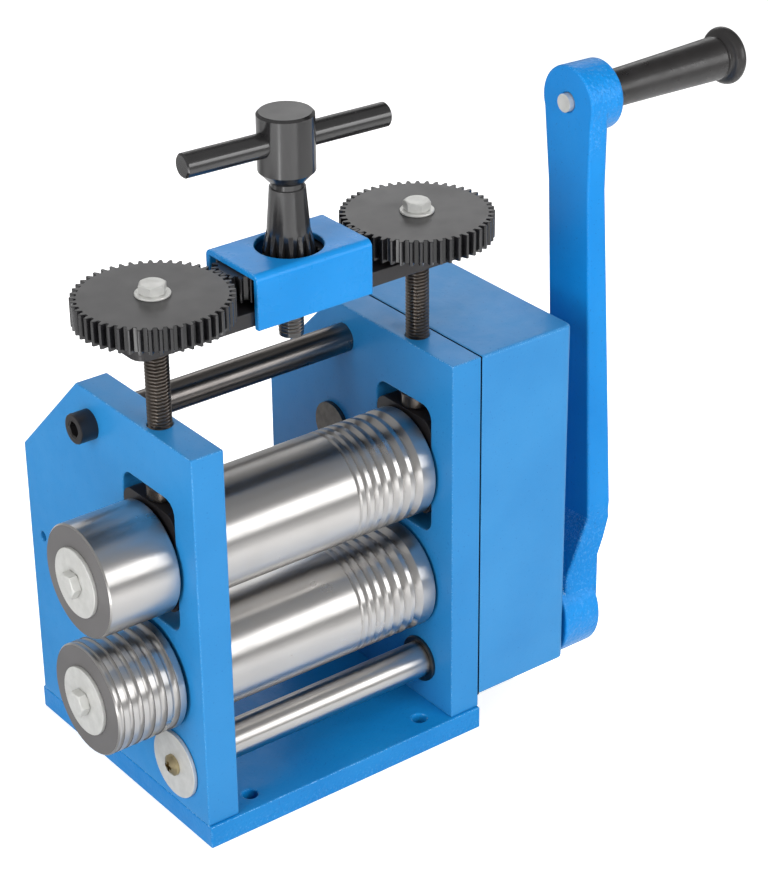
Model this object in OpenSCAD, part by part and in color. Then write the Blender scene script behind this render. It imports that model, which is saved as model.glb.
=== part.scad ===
// Hand cranked combination rolling mill for sheet and wire.
// Millimetres, +Z up, +X towards the gearbox and crank, -Y the infeed side.
// The origin is the centre of the base's underside.

/* [Side plates] */
// Clear width between the two side plates
plate_gap = 112.5; // [112:0.5:116]
// Thickness of a side plate
plate_t = 15; // [14.5:0.5:16]
// Depth of a side plate, front to back
plate_depth = 131; // [129:1:140]
// Height of the plates' top edge above the bench
plate_top = 182; // [181:0.5:186]
// Length of the level top edge, from the front
plate_flat = 83.7; // [82:0.1:90]
// Height of the plates' back edge above the bench
plate_back = 134.7; // [133:0.1:140]
// Width of the slot that guides a bearing block
slot_w = 37; // [36:0.5:40]
// Corner radius of the slot
slot_corner_r = 6; // [5:0.5:7]

/* [Base] */
// Thickness of the base plate
base_t = 10.5; // [10:0.5:11.5]
// How far the base reaches past the plates, front and back
base_lip = 1.5; // [1:0.5:4]
// Diameter of a bench bolt hole
bench_hole_d = 6.5; // [6:0.1:8.5]
// Spacing of the bench bolt holes across the mill
bench_hole_dx = 90; // [80:1:94]
// Spacing of the bench bolt holes, front to back
bench_hole_dy = 114; // [104:1:116]

/* [Rolls] */
// Diameter of every roll
roll_d = 48; // [47.5:0.1:48.5]
// Distance from the plates' front edge back to the rolls' axes
roll_setback = 33; // [33:0.1:34]
// Height of the lower roll's axis above the bench
roll_height = 70; // [69.5:0.1:71]
// Opening between the rolls at the top of their travel
roll_opening = 7.5; // [6:0.1:7.6]
// Opening between the rolls when screwed right down
roll_closed = 0.1; // [0.1:0.05:0.5]
// Gap between a roll's end and the side plate
roll_end_gap = 1.25; // [1.2:0.05:2]
// Diameter of the roll journals
journal_d = 24; // [22:0.5:24.5]
// Number of vee grooves for square wire
vee_count = 7; // [3:1:8]
// Width of the widest vee groove
vee_w = 4.6; // [4:0.1:5]
// How much narrower each next vee groove is
vee_step = 0.5; // [0.3:0.05:0.5]
// Land between two vee grooves
vee_land = 1.9; // [1.5:0.1:2.5]
// Plain land between the widest vee groove and the roll's end
vee_end_land = 7; // [5:0.5:9]

/* [Side rolls] */
// Length of a side roll
side_roll_l = 32.5; // [32:0.5:36]
// Gap between a side roll and the side plate
side_gap = 1.5; // [1.4:0.1:2]
// Diameter of the shaft end that carries a side roll
side_seat_d = 18; // [16:0.5:19]
// Number of half round grooves on the lower side roll
round_count = 6; // [3:1:6]
// Width of the narrowest half round groove
round_w = 1.6; // [1.2:0.1:1.8]
// How much wider each next half round groove is
round_step = 0.45; // [0.3:0.05:0.5]
// Land between two half round grooves
round_land = 2.3; // [2:0.1:2.4]
// Plain land at the outer end of the grooved side roll
round_end_land = 1.3; // [1:0.1:1.6]
// Diameter of the washer on a side roll's end
end_washer_d = 29.4; // [26:0.1:34]
// Thickness of the washer on a side roll's end
end_washer_t = 1.7; // [1.5:0.1:2.5]

/* [Bearing blocks] */
// Height of a bearing block above the roll's axis
block_above = 24.5; // [24:0.5:25]
// Depth of a bearing block below the roll's axis
block_below = 20.5; // [18:0.5:20.5]
// Spare height left in the slot above and below the travel
slot_spare = 0.9; // [0.8:0.1:1.5]
// Outer diameter of a bearing block's raised thrust ring
thrust_ring_d = 30; // [28:0.5:32]

/* [Adjusting screws] */
// Diameter of an adjusting screw
screw_d = 10; // [9.5:0.1:10.5]
// Diameter of the collar at the screw's foot
collar_d = 14; // [13:0.5:16]
// Height of the collar at the screw's foot
collar_h = 5.8; // [5:0.1:6.5]
// Height of the bridge bar's underside above the bench, rolls open
bar_height = 218.8; // [215:0.1:222]
// Thickness of the gears above the bridge bar
head_gear_t = 10.2; // [9:0.1:11]
// Height of the hubs between the bar and the gears
head_hub_h = 2.2; // [2:0.1:3]
// Teeth of the gear on an adjusting screw
screw_teeth = 49; // [49:1:49]
// Teeth of an idler gear
idler_teeth = 19; // [19:1:19]
// Teeth of the pinion on the tee handle
handle_teeth = 15; // [15:1:15]

/* [Bridge bar and bracket] */
// Thickness of the bridge bar
bar_t = 6.5; // [6:0.1:8]
// Width of the bridge bar, front to back
bar_w = 30; // [28:0.5:31]
// How far the bar reaches past a screw's axis
bar_overhang = 17; // [12:0.5:20]
// Corner radius of the bar
bar_corner_r = 6; // [4:0.5:8]
// Length of the bracket over the pinion
bracket_l = 55.4; // [52:0.2:58]
// Thickness of the bracket's bent sheet
bracket_t = 2.5; // [2:0.1:3]
// Hole in the bracket for the tee handle's spindle
bracket_hole_d = 27.8; // [25:0.1:29]
// How far the bracket's flanges reach below the bar's underside
bracket_drop = 1.2; // [0.5:0.1:2]

/* [Tee handle] */
// Diameter of the tee handle's hub
hub_d = 23; // [21:0.5:26]
// Height of the tee handle's hub
hub_h = 24; // [22:0.5:28]
// Height of the hub's underside above the bar's top
hub_rise = 47.2; // [46:0.1:50]
// Diameter of the spindle just under the hub
spindle_neck_d = 14.6; // [14:0.1:15.2]
// Diameter of the tee bar
tee_d = 10; // [9:0.5:12]
// Length of the tee bar
tee_l = 93; // [80:1:110]
// Angle that the tee bar is left at
tee_turn = -3.1; // [-30:0.1:30]
// Length of threaded end below the bridge bar
spindle_tail = 16.8; // [10:0.1:18]

/* [Drive] */
// Tooth size of the crank pinion and its wheel
drive_tooth_m = 2; // [2:0.01:2.02]
// Teeth of the crank pinion
pinion_teeth = 12; // [12:1:12]
// Teeth of the wheel on the lower roll
wheel_teeth = 29; // [29:1:29]
// Angle of the crank shaft forward of the lower roll
drive_lean = 15.85; // [14:0.05:18]
// Diameter of the crank shaft
shaft_d = 16; // [15:0.5:16.5]
// Diameter of the washer on the crank shaft's left end
shaft_washer_d = 30; // [26:0.5:31]
// Face width of the gears that join the two rolls
roll_gear_t = 14; // [12:0.5:15]
// Face width of the wheel on the lower roll
wheel_t = 12; // [10:0.5:13]
// Teeth of the gears that join the two rolls
roll_gear_teeth = 10; // [10:1:10]

/* [Gearbox cover] */
// Width of the gearbox cover, from the right plate outwards
cover_w = 49.5; // [48:0.5:54]
// Height of the cover's lower edge above the bench
cover_bottom = 16.2; // [15.5:0.1:16.4]
// Thickness of the cover's side walls
cover_wall = 3.2; // [2.8:0.1:3.2]
// Thickness of the cover's outer face
cover_face_t = 4; // [3.5:0.1:5]
// Radius of the cover's upright outer edges
cover_edge_r = 3; // [2:0.1:4]

/* [Crank] */
// Distance from the crank shaft to the grip's axis
crank_l = 235.7; // [220:0.1:250]
// Angle that the crank is left leaning back
crank_lean = 2.49; // [-5:0.01:5]
// Width of the crank's arm
crank_arm_w = 26; // [24:0.5:28]
// Thickness of the crank's arm at the middle of its length
crank_arm_t = 11; // [10:0.5:12]
// Diameter of the crank's lower boss
crank_boss_d = 44; // [42:0.5:46]
// Length of the crank's lower boss
crank_boss_l = 18.9; // [18:0.1:20]
// Gap between the cover and the crank's boss
crank_gap = 1.5; // [1.3:0.1:2.5]
// How far the arm stands out past the boss
crank_offset = 1.5; // [1:0.1:3]
// Diameter of the crank's eye at the grip
crank_eye_d = 31.6; // [30:0.1:34]
// Length of the crank's eye
crank_eye_l = 18.4; // [16:0.1:20]

/* [Grip] */
// Length of the grip
grip_l = 74.4; // [65:0.1:85]
// Diameter of the grip next to the crank
grip_neck_d = 16; // [15:0.1:17]
// Largest diameter of the grip's handle part
grip_d = 19.2; // [18:0.1:21]
// Diameter of the grip's end flange
grip_flange_d = 25.4; // [23:0.1:30]
// Thickness of the grip's end flange
grip_flange_t = 6; // [5:0.1:8]
// Diameter of the bolt that the grip turns on
grip_bolt_d = 9; // [8:0.1:9.2]

/* [Hidden] */
$fn = 96;

// Clearances: between turning fits, fixed fits, sliding blocks, faces that turn on each other
run_fit = 0.05;
seat_fit = 0.02;
slide_fit = 0.1;
face_fit = 0.05;
side_play = 0.3;
// Overrun of a cutter past the face it opens
cut = 1;

// Fastener sizes: thread radius, head radius or hexagon corner radius, head height
m4_r = 2;
m4_head_r = 3.5;
m4_head_h = 2.5;
m5_r = 2.5;
m5_pan_r = 4.6;
m5_pan_h = 2.8;
m6_r = 3;
m6_head_r = 5;
m6_head_h = 6;
m6_hex_r = 5.77;
m6_hex_h = 4;
m8_r = 4;
m8_head_r = 6.5;
m8_head_h = 8;
m8_hex_r = 7.5;
m8_hex_h = 5.3;
m10_r = 5;
m10_nut_r = 9.2;
m10_nut_h = 5;
m16_r = 8;
m16_nut_r = 13.8;
m16_nut_h = 6;
hole_play = 0.2;
socket_share = 0.52;

// Frame of reference taken from the driving sizes
half_gap = plate_gap / 2;
half_w = half_gap + plate_t;
front_y = -plate_depth / 2;
back_y = plate_depth / 2;
base_depth = plate_depth + 2 * base_lip;
roll_r = roll_d / 2;
roll_y = front_y + roll_setback;
lower_z = roll_height;
upper_z = lower_z + roll_d + roll_opening;
travel = roll_opening - roll_closed;
journal_r = journal_d / 2;
half_roll = half_gap - roll_end_gap;

// Slot and bearing block
block_w = slot_w - 2 * slide_fit;
block_h = block_above + block_below;
block_corner_r = slot_corner_r;
slot_bottom = upper_z - travel - block_below - slot_spare;
slot_top = upper_z + block_above + face_fit + collar_h + slot_spare;
block_top = upper_z + block_above;
thrust_r = thrust_ring_d / 2;
inner_thrust_h = roll_end_gap - side_play;
outer_thrust_h = side_gap - side_play;

// Lower bushes
lower_bush_r = 15.5;
lower_flange_r = 17.5;

// Adjusting screws and the gears on the bridge bar
screw_x = half_gap + plate_t / 2;
screw_r = screw_d / 2;
screw_neck_r = 4.5;
screw_flat = 3.8;
foot_l = 9;
foot_groove_r = 3.4;
foot_groove_h = 2 * m4_r + 2 * slide_fit;
foot_groove_drop = 4.9;
bar_top = bar_height + bar_t;
head_gear_z = bar_top + head_hub_h;
head_gear_top = head_gear_z + head_gear_t;
head_tooth_m = 2 * screw_x / (handle_teeth + 2 * idler_teeth + screw_teeth);
head_press_angle = 18;
head_add_share = 0.95;
head_ded_share = 1.12;
head_slack = 0.15;
head_steps = 3;
idler_x = head_tooth_m * (handle_teeth + idler_teeth) / 2;
screw_hub_r = 12;
idler_hub_r = 7;
idler_pin_r = 3;
gear_washer_r = 7.1;
gear_washer_t = 1;
gear_bolt_l = 11;

// Bracket
bracket_clear = 0.65;
bracket_fit = 0.1;
bracket_top = head_gear_top + bracket_clear + bracket_t;
bracket_w = bar_w + 2 * (bracket_fit + bracket_t);
bracket_bend_r = 3;
bracket_screw_x = 12;
bracket_screw_l = 10;

// Tee handle
hub_r = hub_d / 2;
hub_z = bar_top + hub_rise;
spindle_r = m10_r;
spindle_seat_r = 7.5;
neck_r = spindle_neck_d / 2;
neck_drop = 7;
neck_z = hub_z - neck_drop;
relief_r = 6.7;
hub_edge = 1;
flute_drop = 25;
flute_fade = 8;
flute_end_z = hub_z - flute_drop;
flute_start_z = flute_end_z - flute_fade;
neck_low_r = 8.7;
relief_h = 2.5;
tee_z_share = 0.508;
tee_edge = 0.7;

// Drive train
drive_press_angle = 25;
drive_add = drive_tooth_m * 0.8;
drive_ded = drive_tooth_m;
drive_slack = 0.3;
drive_steps = 4;
wheel_tip_r = drive_tooth_m * wheel_teeth / 2 + drive_add;
drive_centres = drive_tooth_m * (pinion_teeth + wheel_teeth) / 2;
shaft_y = roll_y - drive_centres * sin(drive_lean);
shaft_z = lower_z - drive_centres * cos(drive_lean);
shaft_r = shaft_d / 2;
shaft_bush_r = 9.5;
shaft_flange_r = 10.5;
shaft_flange_t = 1.5;
shaft_washer_t = 1.8;
gear_x = half_w + side_gap;
wheel_hub_h = 1;
wheel_hub_r = 16;
wheel_x = gear_x + roll_gear_t + wheel_hub_h;
wheel_end_x = wheel_x + wheel_t;
pinion_hub_r = 12;
pinion_play = 1;
pinion_pin_r = 1.5;
gear_seat_r = 10;
nut_seat_l = 7;
shaft_end_play = 0.2;
shaft_end_short = 0.5;
shaft_screw_l = 14;
shaft_thread_l = 16;

// Gears that join the rolls: long teeth that stay in mesh over the whole opening
roll_gear_m = roll_d / roll_gear_teeth;
roll_gear_press_angle = 25;
roll_gear_hold = 3;
roll_gear_clear = 0.35;
roll_gear_slack = 0.3;
roll_gear_steps = 6;
roll_gear_tip = (roll_d + roll_opening + roll_gear_hold) / 2;
roll_gear_root = roll_d + roll_closed - roll_gear_tip - roll_gear_clear;

// Gearbox cover
cover_x = half_w + cover_w;
cover_face_x = cover_x - cover_face_t;
// The pinion's hub and the cover's shaft boss share the room beyond the wheel
pinion_hub_share = 0.5;
drive_room = cover_face_x - wheel_end_x - pinion_play;
pinion_hub_l = drive_room * pinion_hub_share;
cover_boss_l = drive_room - pinion_hub_l;
cover_boss_r = 14;
cover_pillar_r = 6.5;
cover_screw_in = 12;
stud_setback = 83;
stud_y = front_y + stud_setback;
stud_z = 121;
stud_head_r = 11;
stud_head_t = 2;
stud_pillar_r = 8;
stud_thread_l = 12;
wheel_relief_gap = 0.4;

// Places of the cover screws: inset from the plate's edges, front to back and height
cover_inset = 12;
cover_low_z = 27;
cover_low_setback = 52;
cover_front_low_y = front_y + cover_low_setback;
cover_screw_places = [
    [front_y + cover_inset, plate_top - cover_inset],
    [back_y - cover_inset, plate_back - cover_inset],
    [back_y - cover_inset, cover_low_z],
    [cover_front_low_y, cover_low_z]];

// Tie rod
tie_r = 6.5;
tie_setback = 74.2;
tie_drop = 14.8;
tie_y = front_y + tie_setback;
tie_z = plate_top - tie_drop;
tie_thread_l = 14;

// Screws that hold the plates to the base
base_screw_share = 0.76;
base_screw_bite = 8;
base_head_inset = 0.3;

// Small blind hole near the back edge of the left plate
pin_hole_r = 2.2;
pin_hole_deep = 8;
pin_hole_inset = 10;
pin_hole_y = back_y - pin_hole_inset;
pin_hole_z = 93;

// Keys
key_w = 5;
key_h = 5;
side_key_l = 20;
gear_key_l = 10;
key_spare = 0.3;

// Side rolls and what holds them
side_x = half_w + side_gap;
side_end_x = side_x + side_roll_l;
seat_r = side_seat_d / 2;
seat_short = 0.5;
end_washer_r = end_washer_d / 2;
end_bolt_l = 22;
end_thread_l = 24;
edge = 0.6;

// Crank
crank_x = cover_x + crank_gap;
crank_boss_end = crank_x + crank_boss_l;
crank_arm_x = crank_boss_end + crank_offset;
crank_boss_r = crank_boss_d / 2;
crank_eye_r = crank_eye_d / 2;
crank_half_w = crank_arm_w / 2;
crank_washer_r = 13;
crank_washer_t = 3;
crank_bolt_l = 22;
crank_thread_l = 24;
// The arm thins towards the grip by this share either way of its middle thickness
arm_taper_share = 0.2;
// Joggle from the arm's plane in to the boss: heights as shares of the boss's radius,
// steps sideways as shares of the arm's thickness
joggle_high_share = 2.2;
joggle_inner_high_share = 2;
joggle_inner_low_share = 0.96;
joggle_inner_step_share = 0.45;
// Outer line of the joggle from the boss's end upwards, each as [step, height]
joggle_outer_shares = [[0, 0.1], [0.32, 0.7], [0.48, 1.16], [0.87, 1.47], [1.26, 1.85]];
flare_share = 0.9;
// The eye's barrel narrows outwards, and the arm blends into the eye below its axis
eye_draft_share = 0.04;
eye_blend_w_share = 0.97;
eye_blend_l_share = 2.4;
grip_x = crank_arm_x + crank_eye_l + side_play;
grip_end_x = grip_x + grip_l;
grip_head_r = 7;
grip_head_h = 5;
grip_head_room = 1;
grip_bolt_out = 2;
grip_belly_share = 0.75;
grip_bolt_r = grip_bolt_d / 2;
grip_thread_r = 4;

// Involute of a base circle at a working radius, in degrees
function involute(base_r, r) =
    let (a = acos(min(1, base_r / r))) tan(a) * 180 / PI - a;

// Outline of one spur gear with a tooth centred on +X. tooth_m is the pitch diameter over the
// teeth, add and ded the tooth's height outside and inside the pitch circle, slack the
// tooth's thinning along the pitch circle and steps the straight pieces in a flank.
function gear_outline(teeth, tooth_m, press, add, ded, slack, steps) =
    let (pitch_r = tooth_m * teeth / 2,
         base_r = pitch_r * cos(press),
         tip_r = pitch_r + add,
         root_r = pitch_r - ded,
         low_r = max(base_r, root_r),
         half = 90 / teeth - slack * 90 / (PI * pitch_r) + involute(base_r, pitch_r),
         radii = [for (i = [0:steps]) low_r + (tip_r - low_r) * i / steps],
         rise = root_r < low_r ? [[root_r, half]] : [],
         flank = concat(rise, [for (r = radii) [r, half - involute(base_r, r)]]),
         last = len(flank) - 1)
    [for (t = [0:teeth - 1])
        for (k = [0:2 * last + 1])
            let (p = k <= last ? flank[k] : flank[2 * last + 1 - k],
                 a = t * 360 / teeth + (k <= last ? -p[1] : p[1]))
            p[0] * [cos(a), sin(a)]];

// Turn angle that puts a gap of one gear where its neighbour at this bearing has a tooth
function gap_turn(teeth, bearing) = bearing + 180 / teeth;

// Moves a shape drawn in the plane of Y and Z so that its height runs along +X
module along_x(x, y, z) {
    translate([x, y, z]) rotate([90, 0, 90]) children();
}

// Round bar along X between two places
module rod_x(x0, x1, r) {
    translate([x0, 0, 0]) rotate([0, 90, 0]) cylinder(h = x1 - x0, r = r);
}

// Hexagonal prism along X between two places, r to its corners
module hex_x(x0, x1, r) {
    translate([x0, 0, 0]) rotate([0, 90, 0]) cylinder(h = x1 - x0, r = r, $fn = 6);
}

// Body turned about X from a list of [radius, x] points
module turned_x(points) {
    rotate([0, 90, 0]) rotate_extrude() polygon(points);
}

// Body turned about Z from a list of [radius, z] points
module turned_z(points) {
    rotate_extrude() polygon(points);
}

// Flat rectangle centred on the origin with round corners
module round_rect(w, h, r) {
    square([w - 2 * r, h], center = true);
    square([w, h - 2 * r], center = true);
    for (i = [-1, 1], j = [-1, 1]) translate([i * (w / 2 - r), j * (h / 2 - r)]) circle(r);
}

// Round bore with one flat, for a driven screw neck
module flat_bore(r, flat) {
    intersection() {
        circle(r);
        translate([-r, -r]) square([r + flat, 2 * r]);
    }
}

// Outline of a side plate above a chosen lower edge, in Y and Z, drawn in by inset
module plate_outline(bottom, inset) {
    slope = atan((plate_top - plate_back) / (plate_depth - plate_flat));
    polygon([
        [front_y + inset, bottom],
        [front_y + inset, plate_top - inset],
        [front_y + plate_flat - inset * tan(slope / 2), plate_top - inset],
        [back_y - inset, plate_back - inset * tan(45 - slope / 2)],
        [back_y - inset, bottom]]);
}

// Key along X, half sunk in the top of a shaft of radius r
module key_x(middle, r, l) {
    translate([middle - l / 2, -key_w / 2, r - key_h / 2]) cube([l, key_w, key_h]);
}

// Pocket for half a key in a shaft
module key_pocket(middle, r, l) {
    translate([middle - l / 2 - seat_fit, -key_w / 2 - seat_fit, r - key_h / 2 - seat_fit])
        cube([l + 2 * seat_fit, key_w + 2 * seat_fit, key_h]);
}

// Groove for half a key through a hub from x0 to x1
module key_groove(x0, x1, r) {
    translate([x0 - cut, -key_w / 2 - seat_fit, 0])
        cube([x1 - x0 + 2 * cut, key_w + 2 * seat_fit, r + key_h / 2 + key_spare]);
}

// What the two side plates share: bore and slot places are the same on both
module side_plate(x0) {
    difference() {
        along_x(x0, 0, 0) linear_extrude(plate_t) plate_outline(base_t, 0);
        along_x(x0 - cut, roll_y, (slot_bottom + slot_top) / 2)
            linear_extrude(plate_t + 2 * cut)
                round_rect(slot_w, slot_top - slot_bottom, slot_corner_r);
        translate([0, roll_y, lower_z])
            rod_x(x0 - cut, x0 + plate_t + cut, lower_bush_r + seat_fit);
        translate([0, shaft_y, shaft_z])
            rod_x(x0 - cut, x0 + plate_t + cut, shaft_bush_r + seat_fit);
        translate([0, tie_y, tie_z]) rod_x(x0 - cut, x0 + plate_t + cut, m8_r + hole_play);
        translate([x0 + plate_t / 2, roll_y, slot_top - cut])
            cylinder(h = plate_top - slot_top + 2 * cut, r = screw_r + run_fit);
        for (i = [-1, 0, 1])
            translate([x0 + plate_t / 2, i * back_y * base_screw_share, base_t - cut])
                cylinder(h = base_screw_bite + 2 * cut, r = m6_r + seat_fit);
    }
}

module base_plate() {
    color("dodgerblue")
    difference() {
        translate([-half_w, -base_depth / 2, 0]) cube([2 * half_w, base_depth, base_t]);
        for (i = [-1, 1], j = [-1, 1])
            translate([i * bench_hole_dx / 2, j * bench_hole_dy / 2, -cut])
                cylinder(h = base_t + 2 * cut, r = bench_hole_d / 2);
        for (i = [-1, 1], j = [-1, 0, 1])
            translate([i * screw_x, j * back_y * base_screw_share, 0]) {
                translate([0, 0, -cut]) cylinder(h = base_t + 2 * cut, r = m6_r + hole_play);
                translate([0, 0, -cut])
                    cylinder(h = m6_head_h + base_head_inset + cut, r = m6_head_r + hole_play);
            }
    }
}

module left_side_plate() {
    color("dodgerblue")
    difference() {
        side_plate(-half_w);
        translate([0, pin_hole_y, pin_hole_z])
            rod_x(-half_w - cut, -half_w + pin_hole_deep, pin_hole_r);
    }
}

module right_side_plate() {
    color("dodgerblue")
    difference() {
        side_plate(half_gap);
        for (p = cover_screw_places)
            translate([0, p[0], p[1]])
                rod_x(half_w - cover_screw_in - cut, half_w + cut, m6_r + seat_fit);
        translate([0, stud_y, stud_z]) rod_x(half_gap - cut, half_w + cut, m8_r + hole_play);
    }
}

// Cast hood, open below and towards the plate, with pillars for its screws
module gearbox_cover() {
    inner_l = cover_w - cover_face_t;
    color("royalblue")
    difference() {
        union() {
            difference() {
                intersection() {
                    along_x(half_w, 0, 0) linear_extrude(cover_w) plate_outline(cover_bottom, 0);
                    translate([half_w, 0, cover_bottom - cut]) linear_extrude(plate_top)
                        translate([cover_w / 2 - cover_edge_r / 2, 0])
                            round_rect(cover_w + cover_edge_r, plate_depth, cover_edge_r);
                }
                along_x(half_w - cut, 0, 0) linear_extrude(inner_l + cut)
                    plate_outline(cover_bottom - cut, cover_wall);
                translate([0, roll_y, lower_z]) rod_x(wheel_x - cut, wheel_x + wheel_t + cut,
                    wheel_tip_r + wheel_relief_gap);
            }
            for (p = cover_screw_places)
                translate([0, p[0], p[1]]) rod_x(half_w, cover_x - cover_face_t / 2, cover_pillar_r);
            translate([0, stud_y, stud_z]) rod_x(half_w, cover_x - cover_face_t / 2, stud_pillar_r);
            translate([0, shaft_y, shaft_z])
                rod_x(cover_face_x - cover_boss_l, cover_x - cover_face_t / 2, cover_boss_r);
        }
        for (p = cover_screw_places)
            translate([0, p[0], p[1]]) {
                rod_x(half_w - cut, cover_x + cut, m6_r + hole_play);
                rod_x(cover_x - m6_head_h, cover_x + cut, m6_head_r + hole_play);
            }
        translate([0, stud_y, stud_z])
            rod_x(half_w - cut, half_w + stud_thread_l + cut, m8_r + seat_fit);
        translate([0, shaft_y, shaft_z])
            rod_x(cover_face_x - cover_boss_l - cut, cover_x + cut, shaft_bush_r + seat_fit);
        // Keeps the boss from reaching below the cover's open lower edge
        translate([half_w - cut, front_y, cover_bottom - cover_boss_r])
            cube([cover_w + 2 * cut, plate_depth, cover_boss_r]);
    }
}

module tie_rod() {
    color("dimgray")
    translate([0, tie_y, tie_z]) difference() {
        rod_x(-half_gap, half_gap, tie_r);
        for (i = [-1, 1])
            mirror([i > 0 ? 1 : 0, 0, 0])
                rod_x(-half_gap - cut, -half_gap + tie_thread_l + cut, m8_r + seat_fit);
    }
}

// Socket head screw along +X with its head's outer face at -head_h
module cap_screw(thread_r, head_r, head_h, length) {
    difference() {
        union() {
            rod_x(-head_h, 0, head_r);
            rod_x(0, length, thread_r);
        }
        hex_x(-head_h - cut, -head_h / 2, head_r * socket_share);
    }
}

module tie_rod_screws() {
    color("#222222")
    for (i = [0, 1])
        mirror([i, 0, 0]) translate([-half_w, tie_y, tie_z])
            cap_screw(m8_r, m8_head_r, m8_head_h, plate_t + tie_thread_l - cut);
}

module base_screws() {
    color("#222222")
    for (i = [-1, 1], j = [-1, 0, 1])
        translate([i * screw_x, j * back_y * base_screw_share, m6_head_h + base_head_inset])
            rotate([0, -90, 0])
                cap_screw(m6_r, m6_head_r, m6_head_h,
                    base_t + base_screw_bite - m6_head_h - base_head_inset);
}

module cover_screws() {
    color("#222222")
    for (p = cover_screw_places)
        translate([cover_x - m6_head_h, p[0], p[1]]) mirror([1, 0, 0])
            cap_screw(m6_r, m6_head_r, m6_head_h, cover_w - m6_head_h + cover_screw_in - cut);
}

module cover_stud() {
    color("silver")
    translate([0, stud_y, stud_z]) {
        rod_x(half_gap - stud_head_t, half_gap, stud_head_r);
        rod_x(half_gap, half_w + stud_thread_l, m8_r);
    }
}

// Flanged bush for the lower roll in the left plate
module lower_bush() {
    translate([0, roll_y, lower_z]) difference() {
        union() {
            rod_x(-half_w - outer_thrust_h, -half_gap, lower_bush_r);
            rod_x(-half_gap, -half_gap + inner_thrust_h, lower_flange_r);
        }
        rod_x(-half_w - outer_thrust_h - cut, -half_gap + inner_thrust_h + cut,
            journal_r + run_fit);
    }
}

module left_lower_bush() {
    color("goldenrod") lower_bush();
}

module right_lower_bush() {
    color("goldenrod") mirror([1, 0, 0]) lower_bush();
}

// Bush for the crank shaft with its flange inside the plate
module shaft_bush() {
    translate([0, shaft_y, shaft_z]) difference() {
        union() {
            rod_x(-half_w, -half_gap, shaft_bush_r);
            rod_x(-half_gap, -half_gap + shaft_flange_t, shaft_flange_r);
        }
        rod_x(-half_w - cut, -half_gap + shaft_flange_t + cut, shaft_r + run_fit);
    }
}

module left_shaft_bush() {
    color("goldenrod") shaft_bush();
}

module right_shaft_bush() {
    color("goldenrod") mirror([1, 0, 0]) shaft_bush();
}

module cover_shaft_bush() {
    color("goldenrod")
    translate([0, shaft_y, shaft_z]) difference() {
        union() {
            rod_x(cover_face_x - cover_boss_l, cover_x, shaft_bush_r);
            rod_x(cover_x, crank_x - side_play, shaft_flange_r);
        }
        rod_x(cover_face_x - cover_boss_l - cut, crank_x + cut, shaft_r + run_fit);
    }
}

// Bearing block of the left plate, with the screw's foot hole in its top
module bearing_block() {
    difference() {
        union() {
            along_x(-half_w, roll_y, upper_z + (block_above - block_below) / 2)
                linear_extrude(plate_t) round_rect(block_w, block_h, block_corner_r);
            translate([0, roll_y, upper_z])
                rod_x(-half_w - outer_thrust_h, -half_gap + inner_thrust_h, thrust_r);
        }
        translate([0, roll_y, upper_z])
            rod_x(-half_w - outer_thrust_h - cut, -half_gap + inner_thrust_h + cut,
                journal_r + run_fit);
        translate([-screw_x, roll_y, block_top - foot_l])
            cylinder(h = foot_l + cut, r = screw_r + run_fit);
        translate([0, roll_y, block_top - foot_groove_drop])
            rod_x(-half_w - cut, -screw_x, m4_r + seat_fit);
    }
}

module left_bearing_block() {
    color("#2a2a2c") bearing_block();
}

module right_bearing_block() {
    color("#2a2a2c") mirror([1, 0, 0]) bearing_block();
}

// Grub screws whose tips lie in the groove of the screws' feet
module block_grub_screws() {
    tip_x = -screw_x - foot_groove_r - face_fit;
    color("#222222")
    for (i = [0, 1])
        mirror([i, 0, 0]) translate([0, roll_y, block_top - foot_groove_drop])
            difference() {
                rod_x(-half_w, tip_x, m4_r);
                hex_x(-half_w - cut, -half_w + m4_r, m4_r * socket_share);
            }
}

module bridge_bar() {
    color("#333335")
    difference() {
        translate([0, roll_y, bar_height]) linear_extrude(bar_t)
            round_rect(2 * (screw_x + bar_overhang), bar_w, bar_corner_r);
        for (i = [-1, 1]) {
            translate([i * screw_x, roll_y, bar_height - cut])
                cylinder(h = bar_t + 2 * cut, r = screw_neck_r + run_fit);
            translate([i * idler_x, roll_y, bar_height - cut])
                cylinder(h = bar_t + 2 * cut, r = idler_pin_r + seat_fit);
            translate([i * bracket_screw_x, roll_y + bar_w / 2 + cut, bar_height + bar_t / 2])
                rotate([90, 0, 0]) cylinder(h = bracket_screw_l + cut, r = m4_r + seat_fit);
        }
        translate([0, roll_y, bar_height - cut])
            cylinder(h = bar_t + 2 * cut, r = spindle_r + run_fit);
    }
}

module gear_bracket() {
    low = bar_height - bracket_drop;
    inside_w = bracket_w - 2 * bracket_t;
    tall = bracket_top - low;
    color("deepskyblue")
    difference() {
        along_x(-bracket_l / 2, roll_y, low) linear_extrude(bracket_l) difference() {
            union() {
                translate([-bracket_w / 2, 0]) square([bracket_w, tall - bracket_bend_r]);
                translate([bracket_bend_r - bracket_w / 2, 0])
                    square([bracket_w - 2 * bracket_bend_r, tall]);
                for (i = [-1, 1])
                    translate([i * (bracket_w / 2 - bracket_bend_r), tall - bracket_bend_r])
                        circle(bracket_bend_r);
            }
            translate([-inside_w / 2, -cut]) square([inside_w, tall - bracket_t + cut]);
        }
        translate([0, roll_y, bracket_top - bracket_t - cut])
            cylinder(h = bracket_t + 2 * cut, r = bracket_hole_d / 2);
        for (i = [-1, 1])
            translate([i * bracket_screw_x, roll_y + bracket_w / 2 + cut, bar_height + bar_t / 2])
                rotate([90, 0, 0]) cylinder(h = bracket_t + 2 * cut, r = m4_r + hole_play);
    }
}

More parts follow.
